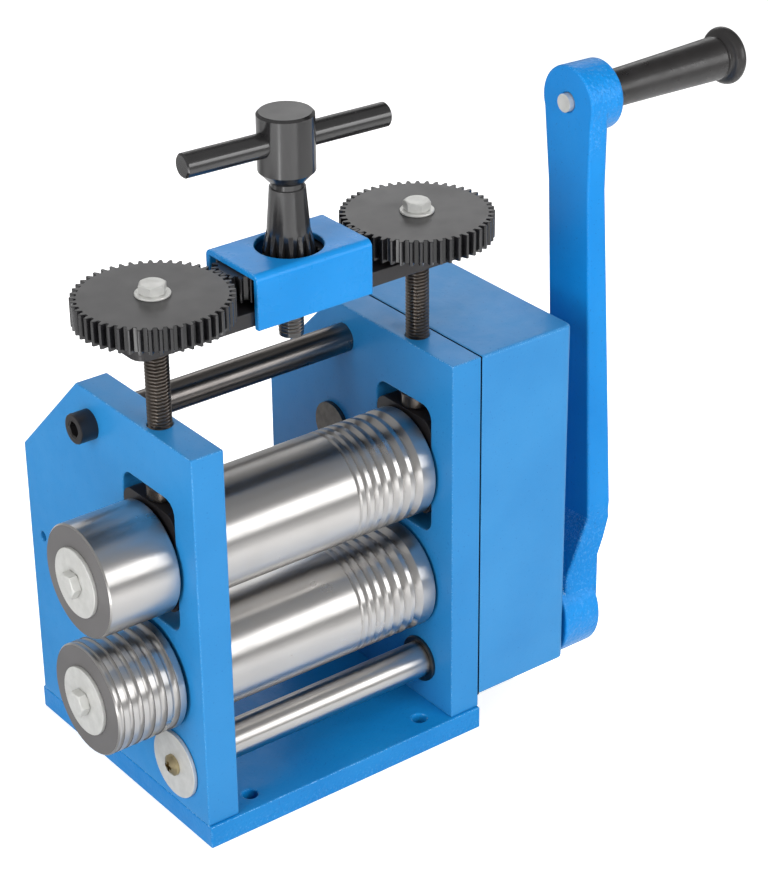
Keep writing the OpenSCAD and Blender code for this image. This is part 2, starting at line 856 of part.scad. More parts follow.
module bracket_screws() {
    color("silver")
    for (i = [-1, 1])
        translate([i * bracket_screw_x, roll_y + bracket_w / 2, bar_height + bar_t / 2])
            rotate([0, 0, -90])
                cap_screw(m4_r, m4_head_r, m4_head_h, bracket_t + bracket_screw_l - cut);
}

module idler_pins() {
    color("silver")
    for (i = [-1, 1])
        translate([i * idler_x, roll_y, bar_height])
            cylinder(h = bracket_top - bracket_t - slide_fit - bar_height, r = idler_pin_r);
}

// Adjusting screw of the left plate: foot, collar, threaded stem and driven neck
module adjusting_screw() {
    foot_z = block_top - foot_l + slide_fit;
    groove_z = block_top - foot_groove_drop;
    collar_z = block_top + face_fit;
    neck_bottom = bar_height - face_fit;
    neck_top = head_gear_top - slide_fit;
    translate([-screw_x, roll_y, 0]) difference() {
        union() {
            turned_z([
                [0, foot_z], [screw_r, foot_z],
                [screw_r, groove_z - foot_groove_h / 2],
                [foot_groove_r, groove_z - foot_groove_h / 2],
                [foot_groove_r, groove_z + foot_groove_h / 2],
                [screw_r, groove_z + foot_groove_h / 2],
                [screw_r, collar_z], [collar_d / 2, collar_z],
                [collar_d / 2, collar_z + collar_h], [screw_r, collar_z + collar_h],
                [screw_r, neck_bottom], [screw_neck_r, neck_bottom],
                [screw_neck_r, bar_top + face_fit], [0, bar_top + face_fit]]);
            translate([0, 0, bar_top]) linear_extrude(neck_top - bar_top)
                flat_bore(screw_neck_r, screw_flat);
        }
        translate([0, 0, neck_top - end_thread_l / 2])
            cylinder(h = end_thread_l / 2 + cut, r = m6_r + seat_fit);
    }
}

module left_adjusting_screw() {
    color("#3a3a3c") adjusting_screw();
}

module right_adjusting_screw() {
    color("#3a3a3c") mirror([1, 0, 0]) adjusting_screw();
}

// Gear of the head train above the bar, teeth turned by a bearing
module head_gear(teeth, turn, bore_r, hub_r) {
    difference() {
        union() {
            translate([0, 0, head_gear_z]) linear_extrude(head_gear_t) rotate(turn)
                polygon(gear_outline(teeth, head_tooth_m, head_press_angle,
                    head_tooth_m * head_add_share, head_tooth_m * head_ded_share, head_slack,
                    head_steps));
            translate([0, 0, bar_top + face_fit])
                cylinder(h = head_hub_h + face_fit, r = hub_r);
        }
        translate([0, 0, bar_top - cut])
            cylinder(h = head_gear_top - bar_top + 2 * cut, r = bore_r);
    }
}

module screw_gear(turn) {
    difference() {
        translate([-screw_x, roll_y, 0]) head_gear(screw_teeth, turn, 0, screw_hub_r);
        translate([-screw_x, roll_y, bar_top - cut])
            linear_extrude(head_gear_top - bar_top + 2 * cut)
                flat_bore(screw_neck_r + seat_fit, screw_flat + seat_fit);
    }
}

module left_screw_gear() {
    color("#39383a") screw_gear(0);
}

module right_screw_gear() {
    color("#39383a") mirror([1, 0, 0]) screw_gear(gap_turn(screw_teeth, 0));
}

module gear_washer() {
    translate([-screw_x, roll_y, head_gear_top]) difference() {
        cylinder(h = gear_washer_t, r = gear_washer_r);
        translate([0, 0, -cut]) cylinder(h = gear_washer_t + 2 * cut, r = m6_r + hole_play);
    }
}

module left_gear_washer() {
    color("silver") gear_washer();
}

module right_gear_washer() {
    color("silver") mirror([1, 0, 0]) gear_washer();
}

module gear_bolt() {
    translate([-screw_x, roll_y, head_gear_top + gear_washer_t]) {
        cylinder(h = m6_hex_h, r = m6_hex_r, $fn = 6);
        translate([0, 0, -gear_bolt_l]) cylinder(h = gear_bolt_l, r = m6_r);
    }
}

module left_gear_bolt() {
    color("silver") gear_bolt();
}

module right_gear_bolt() {
    color("silver") mirror([1, 0, 0]) gear_bolt();
}

module left_idler_gear() {
    color("#2b2b2d")
    translate([-idler_x, roll_y, 0])
        head_gear(idler_teeth, 0, idler_pin_r + run_fit, idler_hub_r);
}

module right_idler_gear() {
    color("#2b2b2d")
    translate([idler_x, roll_y, 0])
        head_gear(idler_teeth, gap_turn(idler_teeth, 180), idler_pin_r + run_fit, idler_hub_r);
}

// Tee handle's hub, neck, pinion with teeth that run out up the neck, and threaded tail
module handle_spindle() {
    tail_z = bar_height - spindle_tail;
    shoulder_z = bar_top + face_fit;
    tip_r = head_tooth_m * (handle_teeth / 2 + head_add_share);
    root_r = head_tooth_m * (handle_teeth / 2 - head_ded_share);
    hub_top = hub_z + hub_h;
    color("#4a4a4c")
    translate([0, roll_y, 0]) difference() {
        union() {
            turned_z([
                [0, tail_z], [spindle_r, tail_z],
                [spindle_r, shoulder_z], [spindle_seat_r, shoulder_z],
                [spindle_seat_r, head_gear_z], [root_r, head_gear_z],
                [root_r, flute_start_z + head_tooth_m], [neck_low_r, flute_end_z],
                [neck_r, neck_z], [relief_r, neck_z], [relief_r, neck_z + relief_h],
                [neck_r, neck_z + relief_h], [hub_r, hub_z],
                [hub_r, hub_top - hub_edge], [hub_r - hub_edge, hub_top], [0, hub_top]]);
            intersection() {
                translate([0, 0, head_gear_z]) linear_extrude(flute_end_z - head_gear_z)
                    polygon(gear_outline(handle_teeth, head_tooth_m, head_press_angle,
                        head_tooth_m * head_add_share, head_tooth_m * head_ded_share,
                        head_slack, head_steps));
                turned_z([
                    [0, head_gear_z], [tip_r, head_gear_z], [tip_r, flute_start_z],
                    [neck_low_r, flute_end_z], [0, flute_end_z]]);
            }
        }
        translate([0, 0, hub_z + hub_h * tee_z_share]) rotate([0, 0, tee_turn])
            rod_x(-hub_d, hub_d, tee_d / 2 + seat_fit);
    }
}

module tee_bar() {
    r = tee_d / 2;
    end = tee_l / 2;
    color("#3d3d3f")
    translate([0, roll_y, hub_z + hub_h * tee_z_share]) rotate([0, 0, tee_turn])
        turned_x([
            [0, -end], [r - tee_edge, -end], [r, -end + tee_edge],
            [r, end - tee_edge], [r - tee_edge, end], [0, end]]);
}

module spindle_nut() {
    nut_z = bar_height - side_play - m10_nut_h;
    color("#333335")
    translate([0, roll_y, nut_z]) difference() {
        cylinder(h = m10_nut_h, r = m10_nut_r, $fn = 6);
        translate([0, 0, -cut]) cylinder(h = m10_nut_h + 2 * cut, r = spindle_r + seat_fit);
    }
}

// Width of vee groove k, counted from the widest at the gearbox end
function vee_width(k) = vee_w - vee_step * k;

// Middle of vee groove k along the roll
function vee_x(k) = half_roll - vee_end_land - vee_w / 2
    - k * (vee_w - vee_step / 2 + vee_land) + vee_step * k * (k - 1) / 2;

// Roll turned with its journals, side seat, gear seat up to gear_end and nut thread
function roll_profile(gear_end) = concat(
    [[0, -side_end_x + seat_short], [seat_r, -side_end_x + seat_short],
     [seat_r, -side_x], [journal_r, -side_x], [journal_r, -half_roll],
     [roll_r - edge, -half_roll], [roll_r, -half_roll + edge]],
    [for (i = [vee_count - 1:-1:0], j = [-1, 0, 1])
        [roll_r - (1 - abs(j)) * vee_width(i) / 2, vee_x(i) + j * vee_width(i) / 2]],
    [[roll_r, half_roll - edge], [roll_r - edge, half_roll],
     [journal_r, half_roll], [journal_r, gear_x], [gear_seat_r, gear_x],
     [gear_seat_r, gear_end], [m16_r, gear_end], [m16_r, gear_end + nut_seat_l],
     [0, gear_end + nut_seat_l]]);

side_key_x = -side_x - side_roll_l / 2;
roll_gear_key_x = gear_x + roll_gear_t / 2;
wheel_key_x = wheel_x + wheel_t / 2;

// Roll on its axis, with pockets for its keys and the thread for its end bolt
module roll_blank(gear_end, gear_keys) {
    difference() {
        turned_x(roll_profile(gear_end));
        key_pocket(side_key_x, seat_r, side_key_l);
        for (x = gear_keys) key_pocket(x, gear_seat_r, gear_key_l);
        rod_x(-side_end_x, -side_end_x + seat_short + end_thread_l, m6_r + seat_fit);
    }
}

// Keys of one roll, on its axis
module roll_keys(gear_keys) {
    key_x(side_key_x, seat_r, side_key_l);
    for (x = gear_keys) key_x(x, gear_seat_r, gear_key_l);
}

// Side roll on its axis, plain
module side_roll_blank() {
    difference() {
        turned_x([
            [0, -side_end_x], [roll_r - edge, -side_end_x], [roll_r, -side_end_x + edge],
            [roll_r, -side_x - edge], [roll_r - edge, -side_x], [0, -side_x]]);
        rod_x(-side_end_x - cut, -side_x + cut, seat_r + seat_fit);
        key_groove(-side_end_x, -side_x, seat_r);
    }
}

module end_washer() {
    difference() {
        rod_x(-side_end_x - end_washer_t, -side_end_x, end_washer_r);
        rod_x(-side_end_x - end_washer_t - cut, -side_end_x + cut, m6_r + hole_play);
    }
}

module end_bolt() {
    head_x = -side_end_x - end_washer_t;
    hex_x(head_x - m6_hex_h, head_x, m6_hex_r);
    rod_x(head_x, head_x + end_bolt_l, m6_r);
}

// Long toothed gear that joins the rolls, on its axis
module roll_gear(turn) {
    pitch_r = roll_d / 2;
    difference() {
        along_x(gear_x, 0, 0) linear_extrude(roll_gear_t) rotate(turn)
            polygon(gear_outline(roll_gear_teeth, roll_gear_m, roll_gear_press_angle,
                roll_gear_tip - pitch_r, pitch_r - roll_gear_root,
                roll_gear_slack, roll_gear_steps));
        rod_x(gear_x - cut, gear_x + roll_gear_t + cut, gear_seat_r + seat_fit);
        key_groove(gear_x, gear_x + roll_gear_t, gear_seat_r);
    }
}

// Nut on a roll's gear end, on its axis
module gear_nut(x0) {
    difference() {
        hex_x(x0, x0 + m16_nut_h, m16_nut_r);
        rod_x(x0 - cut, x0 + m16_nut_h + cut, m16_r + seat_fit);
    }
}

module at_upper() {
    translate([0, roll_y, upper_z]) children();
}

module at_lower() {
    translate([0, roll_y, lower_z]) children();
}

module upper_roll() {
    color("lightgray") at_upper() roll_blank(gear_x + roll_gear_t, [roll_gear_key_x]);
}

module plain_side_roll() {
    color("lightgray") at_upper() side_roll_blank();
}

module upper_end_washer() {
    color("gainsboro") at_upper() end_washer();
}

module upper_end_bolt() {
    color("silver") at_upper() end_bolt();
}

module upper_roll_gear() {
    color("#555558") at_upper() roll_gear(gap_turn(roll_gear_teeth, -90));
}

module upper_roll_keys() {
    color("gray") at_upper() roll_keys([roll_gear_key_x]);
}

module upper_gear_nut() {
    color("gray") at_upper() gear_nut(gear_x + roll_gear_t);
}

module lower_roll() {
    color("lightgray") at_lower() roll_blank(wheel_end_x, [roll_gear_key_x, wheel_key_x]);
}

// Width of half round groove k, counted from the outer end
function round_width(k) = round_w + round_step * k;

// Middle of half round groove k along the side roll
function round_x(k) = -side_end_x + round_end_land + round_w / 2
    + k * (round_w + round_step / 2 + round_land) + round_step * k * (k - 1) / 2;

module grooved_side_roll() {
    color("lightgray") at_lower() difference() {
        side_roll_blank();
        for (k = [0:round_count - 1])
            rotate([0, 90, 0]) rotate_extrude()
                translate([roll_r, round_x(k)]) circle(round_width(k) / 2);
    }
}

module lower_end_washer() {
    color("gainsboro") at_lower() end_washer();
}

module lower_end_bolt() {
    color("silver") at_lower() end_bolt();
}

module lower_roll_gear() {
    color("#555558") at_lower() roll_gear(90);
}

// Bearing of the crank shaft from the lower roll, in the plane of Y and Z
drive_bearing = atan2(shaft_z - lower_z, shaft_y - roll_y);

// Gear of the crank's reduction, on its axis
module drive_gear(teeth, turn) {
    along_x(wheel_x, 0, 0) linear_extrude(wheel_t) rotate(turn)
        polygon(gear_outline(teeth, drive_tooth_m, drive_press_angle, drive_add, drive_ded,
            drive_slack, drive_steps));
}

module drive_wheel() {
    color("#555558") at_lower() difference() {
        union() {
            drive_gear(wheel_teeth, drive_bearing);
            rod_x(wheel_x - wheel_hub_h, wheel_x, wheel_hub_r);
        }
        rod_x(wheel_x - wheel_hub_h - cut, wheel_end_x + cut, gear_seat_r + seat_fit);
        key_groove(wheel_x - wheel_hub_h, wheel_end_x, gear_seat_r);
    }
}

module lower_roll_keys() {
    color("gray") at_lower() roll_keys([roll_gear_key_x, wheel_key_x]);
}

module lower_gear_nut() {
    color("gray") at_lower() gear_nut(wheel_end_x);
}

module at_shaft() {
    translate([0, shaft_y, shaft_z]) children();
}

shaft_left_x = -half_w - shaft_end_play;
crank_key_x = crank_x + crank_boss_l / 2;
pinion_pin_x = wheel_end_x + pinion_hub_l / 2;

module drive_shaft() {
    color("lightgray") at_shaft() difference() {
        rod_x(shaft_left_x, crank_boss_end - shaft_end_short, shaft_r);
        rod_x(shaft_left_x - cut, shaft_left_x + shaft_thread_l, m5_r + seat_fit);
        rod_x(crank_boss_end - crank_thread_l, crank_boss_end + cut, m8_r + seat_fit);
        key_pocket(crank_key_x, shaft_r, gear_key_l);
        translate([pinion_pin_x, 0, -pinion_hub_r - cut])
            cylinder(h = 2 * (pinion_hub_r + cut), r = pinion_pin_r + seat_fit);
    }
}

module drive_pinion() {
    color("#555558") at_shaft() difference() {
        union() {
            drive_gear(pinion_teeth, gap_turn(pinion_teeth, drive_bearing + 180));
            rod_x(wheel_end_x, wheel_end_x + pinion_hub_l, pinion_hub_r);
        }
        rod_x(wheel_x - cut, wheel_end_x + pinion_hub_l + cut, shaft_r + seat_fit);
        translate([pinion_pin_x, 0, -pinion_hub_r - cut])
            cylinder(h = 2 * (pinion_hub_r + cut), r = pinion_pin_r + seat_fit);
    }
}

module shaft_end_washer() {
    color("gainsboro") at_shaft() difference() {
        rod_x(shaft_left_x - shaft_washer_t, shaft_left_x, shaft_washer_d / 2);
        rod_x(shaft_left_x - shaft_washer_t - cut, shaft_left_x + cut, m5_r + hole_play);
    }
}

// Pan head screw with a cross recess
module shaft_end_screw() {
    seat_x = shaft_left_x - shaft_washer_t;
    arm = m5_pan_r * socket_share;
    slot = m5_pan_h * socket_share / 2;
    color("#c9a95a") at_shaft() difference() {
        union() {
            turned_x([
                [0, seat_x - m5_pan_h], [m5_pan_r / 2, seat_x - m5_pan_h],
                [m5_pan_r, seat_x - m5_pan_h / 2], [m5_pan_r, seat_x], [0, seat_x]]);
            rod_x(seat_x, seat_x + shaft_screw_l, m5_r);
        }
        for (a = [0, 90])
            rotate([a, 0, 0]) translate([seat_x - m5_pan_h - cut, -arm, -slot])
                cube([m5_pan_h / 2 + cut, 2 * arm, 2 * slot]);
    }
}

// Key of the crank and cross pin of the pinion
module drive_keys() {
    color("gray") at_shaft() {
        key_x(crank_key_x, shaft_r, gear_key_l);
        translate([pinion_pin_x, 0, -pinion_hub_r])
            cylinder(h = 2 * pinion_hub_r, r = pinion_pin_r);
    }
}

// Moves children to the crank shaft and leans them back with the crank
module at_crank() {
    at_shaft() rotate([-crank_lean, 0, 0]) children();
}

// Side view of the arm, in X and Z from the shaft's axis: straight, then joggled in to the boss
module arm_profile() {
    r = crank_boss_r;
    polygon(concat(
        [[crank_arm_x, crank_l + r], [crank_arm_x, joggle_inner_high_share * r],
         [crank_x + crank_arm_t * joggle_inner_step_share, joggle_inner_low_share * r],
         [crank_x, 0], [crank_boss_end, 0]],
        [for (p = joggle_outer_shares) [crank_boss_end + crank_arm_t * p[0], p[1] * r]],
        [[crank_arm_x + crank_arm_t * (1 + arm_taper_share), joggle_high_share * r],
         [crank_arm_x + crank_arm_t * (1 - arm_taper_share), crank_l + r]]));
}

// Front view of the arm, in Y and Z from the shaft's axis
module arm_outline() {
    flare_w = crank_boss_r * flare_share;
    flare_z = crank_boss_r * joggle_inner_high_share;
    eye_w = crank_eye_r * eye_blend_w_share;
    blend_z = crank_l - crank_eye_r * eye_blend_l_share;
    polygon([
        [-flare_w, 0], [flare_w, 0], [crank_half_w, flare_z], [crank_half_w, blend_z],
        [eye_w, crank_l], [-eye_w, crank_l], [-crank_half_w, blend_z],
        [-crank_half_w, flare_z]]);
}

module crank_arm() {
    color("dodgerblue") difference() {
        at_crank() {
            rod_x(crank_x, crank_boss_end, crank_boss_r);
            intersection() {
                along_x(crank_x, 0, 0) linear_extrude(crank_arm_x + 2 * crank_arm_t - crank_x)
                    arm_outline();
                translate([0, crank_boss_r, 0]) rotate([90, 0, 0])
                    linear_extrude(crank_boss_d) arm_profile();
            }
            translate([0, 0, crank_l]) turned_x([
                [0, crank_arm_x], [crank_eye_r, crank_arm_x],
                [crank_eye_r * (1 - eye_draft_share), crank_arm_x + crank_eye_l],
                [0, crank_arm_x + crank_eye_l]]);
        }
        at_shaft() {
            rod_x(crank_x - cut, crank_boss_end + cut, shaft_r + seat_fit);
            rod_x(crank_boss_end, crank_boss_end + 2 * crank_arm_t, crank_washer_r + side_play);
            key_groove(crank_x, crank_boss_end, shaft_r);
        }
        at_crank() translate([0, 0, crank_l])
            rod_x(crank_arm_x - cut, crank_arm_x + crank_eye_l + cut, grip_thread_r + seat_fit);
    }
}

module crank_washer() {
    color("gainsboro") at_shaft() difference() {
        rod_x(crank_boss_end, crank_boss_end + crank_washer_t, crank_washer_r);
        rod_x(crank_boss_end - cut, crank_boss_end + crank_washer_t + cut, m8_r + hole_play);
    }
}

module crank_bolt() {
    head_x = crank_boss_end + crank_washer_t;
    color("silver") at_shaft() {
        hex_x(head_x, head_x + m8_hex_h, m8_hex_r);
        rod_x(head_x - crank_bolt_l, head_x, m8_r);
    }
}

module grip_bolt() {
    head_end = grip_end_x - grip_head_room;
    color("silver") at_crank() translate([0, 0, crank_l]) {
        rod_x(crank_arm_x - grip_bolt_out, crank_arm_x + crank_eye_l, grip_thread_r);
        rod_x(crank_arm_x + crank_eye_l, head_end - grip_head_h, grip_bolt_r);
        rod_x(head_end - grip_head_h, head_end, grip_head_r);
    }
}

module crank_grip() {
    flange_x = grip_end_x - grip_flange_t;
    bead_r = grip_flange_t / 2;
    rim_r = grip_flange_d / 2 - bead_r;
    head_x = grip_end_x - grip_head_room - grip_head_h;
    color("#202022") at_crank() translate([0, 0, crank_l]) difference() {
        union() {
            turned_x([
                [0, grip_x], [grip_neck_d / 2 - edge, grip_x], [grip_neck_d / 2, grip_x + edge],
                [grip_d / 2, grip_x + grip_l * grip_belly_share],
                [grip_d / 2, flange_x], [rim_r, flange_x], [rim_r, grip_end_x],
                [0, grip_end_x]]);
            rotate([0, 90, 0]) rotate_extrude() translate([rim_r, flange_x + bead_r])
                circle(bead_r);
        }
        rod_x(grip_x - cut, grip_end_x + cut, grip_bolt_r + run_fit);
        rod_x(head_x - face_fit, grip_end_x + cut, grip_head_r + side_play);
    }
}

base_plate();
left_side_plate();
right_side_plate();
gearbox_cover();
tie_rod();
tie_rod_screws();
base_screws();
cover_screws();
cover_stud();
left_lower_bush();
right_lower_bush();
left_shaft_bush();
right_shaft_bush();
cover_shaft_bush();
left_bearing_block();
right_bearing_block();
block_grub_screws();
bridge_bar();
gear_bracket();
bracket_screws();
idler_pins();
left_adjusting_screw();
right_adjusting_screw();
left_screw_gear();
right_screw_gear();
left_gear_washer();
right_gear_washer();
left_gear_bolt();
right_gear_bolt();
left_idler_gear();
right_idler_gear();
handle_spindle();
tee_bar();
spindle_nut();
upper_roll();
plain_side_roll();
upper_end_washer();
upper_end_bolt();
upper_roll_gear();
upper_roll_keys();
upper_gear_nut();
lower_roll();
grooved_side_roll();
lower_end_washer();
lower_end_bolt();
lower_roll_gear();
drive_wheel();
lower_roll_keys();
lower_gear_nut();
drive_shaft();
drive_pinion();
shaft_end_washer();
shaft_end_screw();
drive_keys();
crank_arm();
crank_washer();
crank_bolt();
grip_bolt();
crank_grip();
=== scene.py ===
import math

import bmesh
import bpy
from mathutils import Matrix, Vector
from mathutils.geometry import tessellate_polygon


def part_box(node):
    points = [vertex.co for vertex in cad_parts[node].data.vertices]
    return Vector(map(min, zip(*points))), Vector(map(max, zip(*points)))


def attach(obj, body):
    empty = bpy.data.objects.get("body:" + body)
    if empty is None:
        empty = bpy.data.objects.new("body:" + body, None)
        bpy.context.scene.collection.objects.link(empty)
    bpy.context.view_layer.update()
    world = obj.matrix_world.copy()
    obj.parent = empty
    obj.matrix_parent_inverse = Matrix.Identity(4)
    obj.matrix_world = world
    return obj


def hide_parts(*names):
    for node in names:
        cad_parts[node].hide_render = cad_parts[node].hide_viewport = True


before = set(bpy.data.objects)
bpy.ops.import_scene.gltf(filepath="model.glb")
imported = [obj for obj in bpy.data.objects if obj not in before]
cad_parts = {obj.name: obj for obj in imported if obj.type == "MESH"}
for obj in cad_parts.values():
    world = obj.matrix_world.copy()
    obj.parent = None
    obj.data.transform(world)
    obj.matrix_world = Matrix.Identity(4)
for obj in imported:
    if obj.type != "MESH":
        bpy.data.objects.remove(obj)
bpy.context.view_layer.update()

MM = 0.001
FULL_TURN = 2 * math.pi
WHITE = (1, 1, 1, 1)

# Places taken from the CAD nodes' boxes


def middle(node):
    """Middle of a CAD node's box."""
    low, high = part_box(node)
    return (low + high) / 2


ROLL_Y = middle("upper_end_washer").y
UPPER_Z = middle("upper_end_washer").z
LOWER_Z = middle("lower_end_washer").z
SHAFT = middle("shaft_end_washer")
GRIP = middle("crank_grip")
SCREW_X = middle("right_screw_gear").x
BAR_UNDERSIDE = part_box("bridge_bar")[0].z
HALF_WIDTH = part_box("base_plate")[1].x
BASE_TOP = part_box("base_plate")[1].z
ARM_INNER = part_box("crank_washer")[0].x


# Mesh building

MADE_MERGE = 0.001 * MM
CAD_MERGE = 0.002 * MM
FLAT_ANGLE = math.radians(0.1)
SHARP_ANGLE = math.radians(40)
# Faces that meet at more than this many degrees keep a sharp edge
SOFT_CREASE = 35
BOLT_CREASE = 28
THREAD_CREASE = 24
GRIP_CREASE = 50
LINE_CREASE = 40


class Shape:
    """Points and faces of one piece."""

    def __init__(self):
        self.points = []
        self.faces = []

    def add(self, part, place):
        points, faces = part
        first = len(self.points)
        self.points += [place @ Vector(p) for p in points]
        self.faces += [[first + i for i in face] for face in faces]
        return self


def along_x(x, y, z, flip=False):
    """Places a shape drawn about +Z so that it points along +X, or along -X if flipped."""
    side = -1 if flip else 1
    turn = Matrix(((0, 0, side), (side, 0, 0), (0, 1, 0))).to_4x4()
    return Matrix.Translation((x, y, z)) @ turn


def upright(x, y, z, turn=0):
    """Places a shape drawn about +Z upright, turned about its own axis by some degrees."""
    return Matrix.Translation((x, y, z)) @ Matrix.Rotation(math.radians(turn), 4, "Z")


def hexagon_radius(corner, angle):
    """Distance from the middle of a hexagon to its edge at an angle, a corner at angle 0."""
    step = FULL_TURN / 6
    return corner * math.cos(step / 2) / math.cos(angle % step - step / 2)


def turned(profile, segments=96):
    """Body turned about Z from (radius, z) points, or (radius, z, corner) where a hexagon with
    that corner radius cuts in."""
    points, rings, faces = [], [], []
    for entry in profile:
        first = len(points)
        if entry[0] <= 0:
            points.append((0, 0, entry[1]))
            rings.append([first])
            continue
        for i in range(segments):
            angle = FULL_TURN * i / segments
            radius = entry[0]
            if len(entry) > 2:
                radius = min(radius, hexagon_radius(entry[2], angle))
            points.append((radius * math.cos(angle), radius * math.sin(angle), entry[1]))
        rings.append(list(range(first, first + segments)))
    for low, high in zip(rings, rings[1:]):
        for i in range(segments):
            j = (i + 1) % segments
            face = []
            for corner in (low[i % len(low)], low[j % len(low)],
                           high[j % len(high)], high[i % len(high)]):
                if corner not in face:
                    face.append(corner)
            if len(face) > 2:
                faces.append(face)
    return points, faces


def mitred(loop, distance, least_share=0.4):
    """Loop of points drawn in towards its left by a distance, corners kept. least_share keeps
    a very sharp corner from running away."""
    moved = []
    count = len(loop)
    for i in range(count):
        a, b, c = loop[i - 1], loop[i], loop[(i + 1) % count]
        u, v = (b - a).normalized(), (c - b).normalized()
        left_u, left_v = Vector((-u.y, u.x)), Vector((-v.y, v.x))
        share = max(least_share, 1 + left_u.dot(left_v))
        moved.append(b + (left_u + left_v) * (distance / share))
    return moved


def slab(outline, holes, low, high, edge, steps=2):
    """Plate between two heights with round edges. Outline and holes run anticlockwise."""
    loops = [[Vector(p) for p in outline]] + [[Vector(p) for p in hole] for hole in holes]
    levels = []
    for k in range(steps + 1):
        angle = math.pi / 2 * k / steps
        levels.append((edge * (1 - math.sin(angle)), edge * (1 - math.cos(angle))))
    heights = [(inset, low + rise) for inset, rise in levels]
    heights += [(inset, high - rise) for inset, rise in reversed(levels)]
    points, faces = [], []
    ends = []
    for inset, height in heights:
        level = []
        for number, loop in enumerate(loops):
            first = len(points)
            drawn = mitred(loop, -inset if number else inset)
            points += [(p.x, p.y, height) for p in drawn]
            level.append((first, drawn))
        ends.append(level)
    for below, above in zip(ends, ends[1:]):
        for number, ((first, loop), (second, _)) in enumerate(zip(below, above)):
            count = len(loop)
            for i in range(count):
                j = (i + 1) % count
                face = [first + i, first + j, second + j, second + i]
                faces.append(face[::-1] if number else face)
    for level, is_top in ((ends[0], False), (ends[-1], True)):
        rings = [[Vector((p.x, p.y, 0)) for p in loop] for _, loop in level]
        numbers = [first + i for first, loop in level for i in range(len(loop))]
        for triangle in tessellate_polygon(rings):
            a, b, c = (Vector(points[numbers[i]]) for i in triangle)
            up = (b - a).cross(c - a).z > 0
            face = [numbers[i] for i in triangle]
            faces.append(face if up == is_top else face[::-1])
    return points, faces


def threaded(low, high, radius, pitch, depth, segments=40, rows=8):
    """Rod about Z with a true helical thread that fades out at both ends. rows is the number
    of point rings in one pitch, crest and flank the width of the crest and the flanks' slope."""
    crest, flank = 1.25, 1.6
    count = max(2, round((high - low) / pitch * rows))
    points, faces = [], []
    for row in range(count + 1):
        z = low + (high - low) * row / count
        for i in range(segments):
            share = (z / pitch - i / segments) % 1.0
            wave = min(1.0, max(0.0, crest - abs(share * 2 - 1) * flank))
            fade = min(1.0, row / rows, (count - row) / rows)
            reach = radius - depth * (1 - wave * fade)
            angle = FULL_TURN * i / segments
            points.append((reach * math.cos(angle), reach * math.sin(angle), z))
    for row in range(count):
        for i in range(segments):
            j = (i + 1) % segments
            a, b = row * segments, (row + 1) * segments
            faces.append([a + i, a + j, b + j, b + i])
    faces.append(list(range(segments))[::-1])
    faces.append([count * segments + i for i in range(segments)])
    return points, faces


def make_piece(name, shape, body, material, crease, replaces=()):
    """Turns a shape into a piece that rides on a body and stands for CAD nodes."""
    mesh = bpy.data.meshes.new(name)
    mesh.from_pydata([tuple(p) for p in shape.points], [], shape.faces)
    mesh.materials.append(material)
    work = bmesh.new()
    work.from_mesh(mesh)
    bmesh.ops.remove_doubles(work, verts=work.verts, dist=MADE_MERGE)
    bmesh.ops.recalc_face_normals(work, faces=work.faces)
    work.to_mesh(mesh)
    work.free()
    finish_piece(name, mesh, body, crease, replaces)


def finish_piece(name, mesh, body, crease, replaces):
    """Shades a mesh, smooth up to the crease angle in degrees, sets it on its body and hides the
    nodes it stands for.
    """
    mesh.shade_smooth()
    mesh.set_sharp_from_angle(angle=math.radians(crease))
    piece = bpy.data.objects.new(name, mesh)
    bpy.context.scene.collection.objects.link(piece)
    even = piece.modifiers.new("even_normals", "WEIGHTED_NORMAL")
    even.keep_sharp = True
    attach(piece, body)
    if replaces:
        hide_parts(*replaces)


def dress(node, material, edge=0.0, steps=2):
    """Gives a CAD node its finish and, as modifiers only, softly broken edges."""
    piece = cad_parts[node]
    piece.data.materials.clear()
    piece.data.materials.append(material)
    if edge > 0:
        weld = piece.modifiers.new("weld", "WELD")
        weld.merge_threshold = CAD_MERGE
        bevel = piece.modifiers.new("broken_edges", "BEVEL")
        bevel.width = edge
        bevel.segments = steps
        bevel.limit_method = "ANGLE"
        bevel.angle_limit = SHARP_ANGLE
        bevel.harden_normals = False
        even = piece.modifiers.new("even_normals", "WEIGHTED_NORMAL")
        even.keep_sharp = False


def soften(node, body, material, radius, steps=2, chosen=None):
    """Stands for a CAD node with its own faces, its outer edges rounded to a radius."""
    work = bmesh.new()
    work.from_mesh(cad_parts[node].data)
    bmesh.ops.remove_doubles(work, verts=work.verts, dist=CAD_MERGE)
    bmesh.ops.dissolve_limit(work, angle_limit=FLAT_ANGLE, verts=work.verts, edges=work.edges)
    sharp = [edge for edge in work.edges
             if len(edge.link_faces) == 2 and edge.is_convex
             and edge.calc_face_angle() > SHARP_ANGLE and (chosen is None or chosen(edge))]
    bmesh.ops.bevel(work, geom=sharp, offset=radius, offset_type="OFFSET", segments=steps,
                    profile=0.5, affect="EDGES", clamp_overlap=False)
    mesh = bpy.data.meshes.new(node + "_soft")
    work.to_mesh(mesh)
    work.free()
    mesh.materials.clear()
    mesh.materials.append(material)
    mesh.polygons.foreach_set("material_index", [0] * len(mesh.polygons))
    finish_piece(node + "_soft", mesh, body, SOFT_CREASE, [node])


# Materials. Noise scales count waves in a metre, so 1000 makes grains about 1 mm wide.


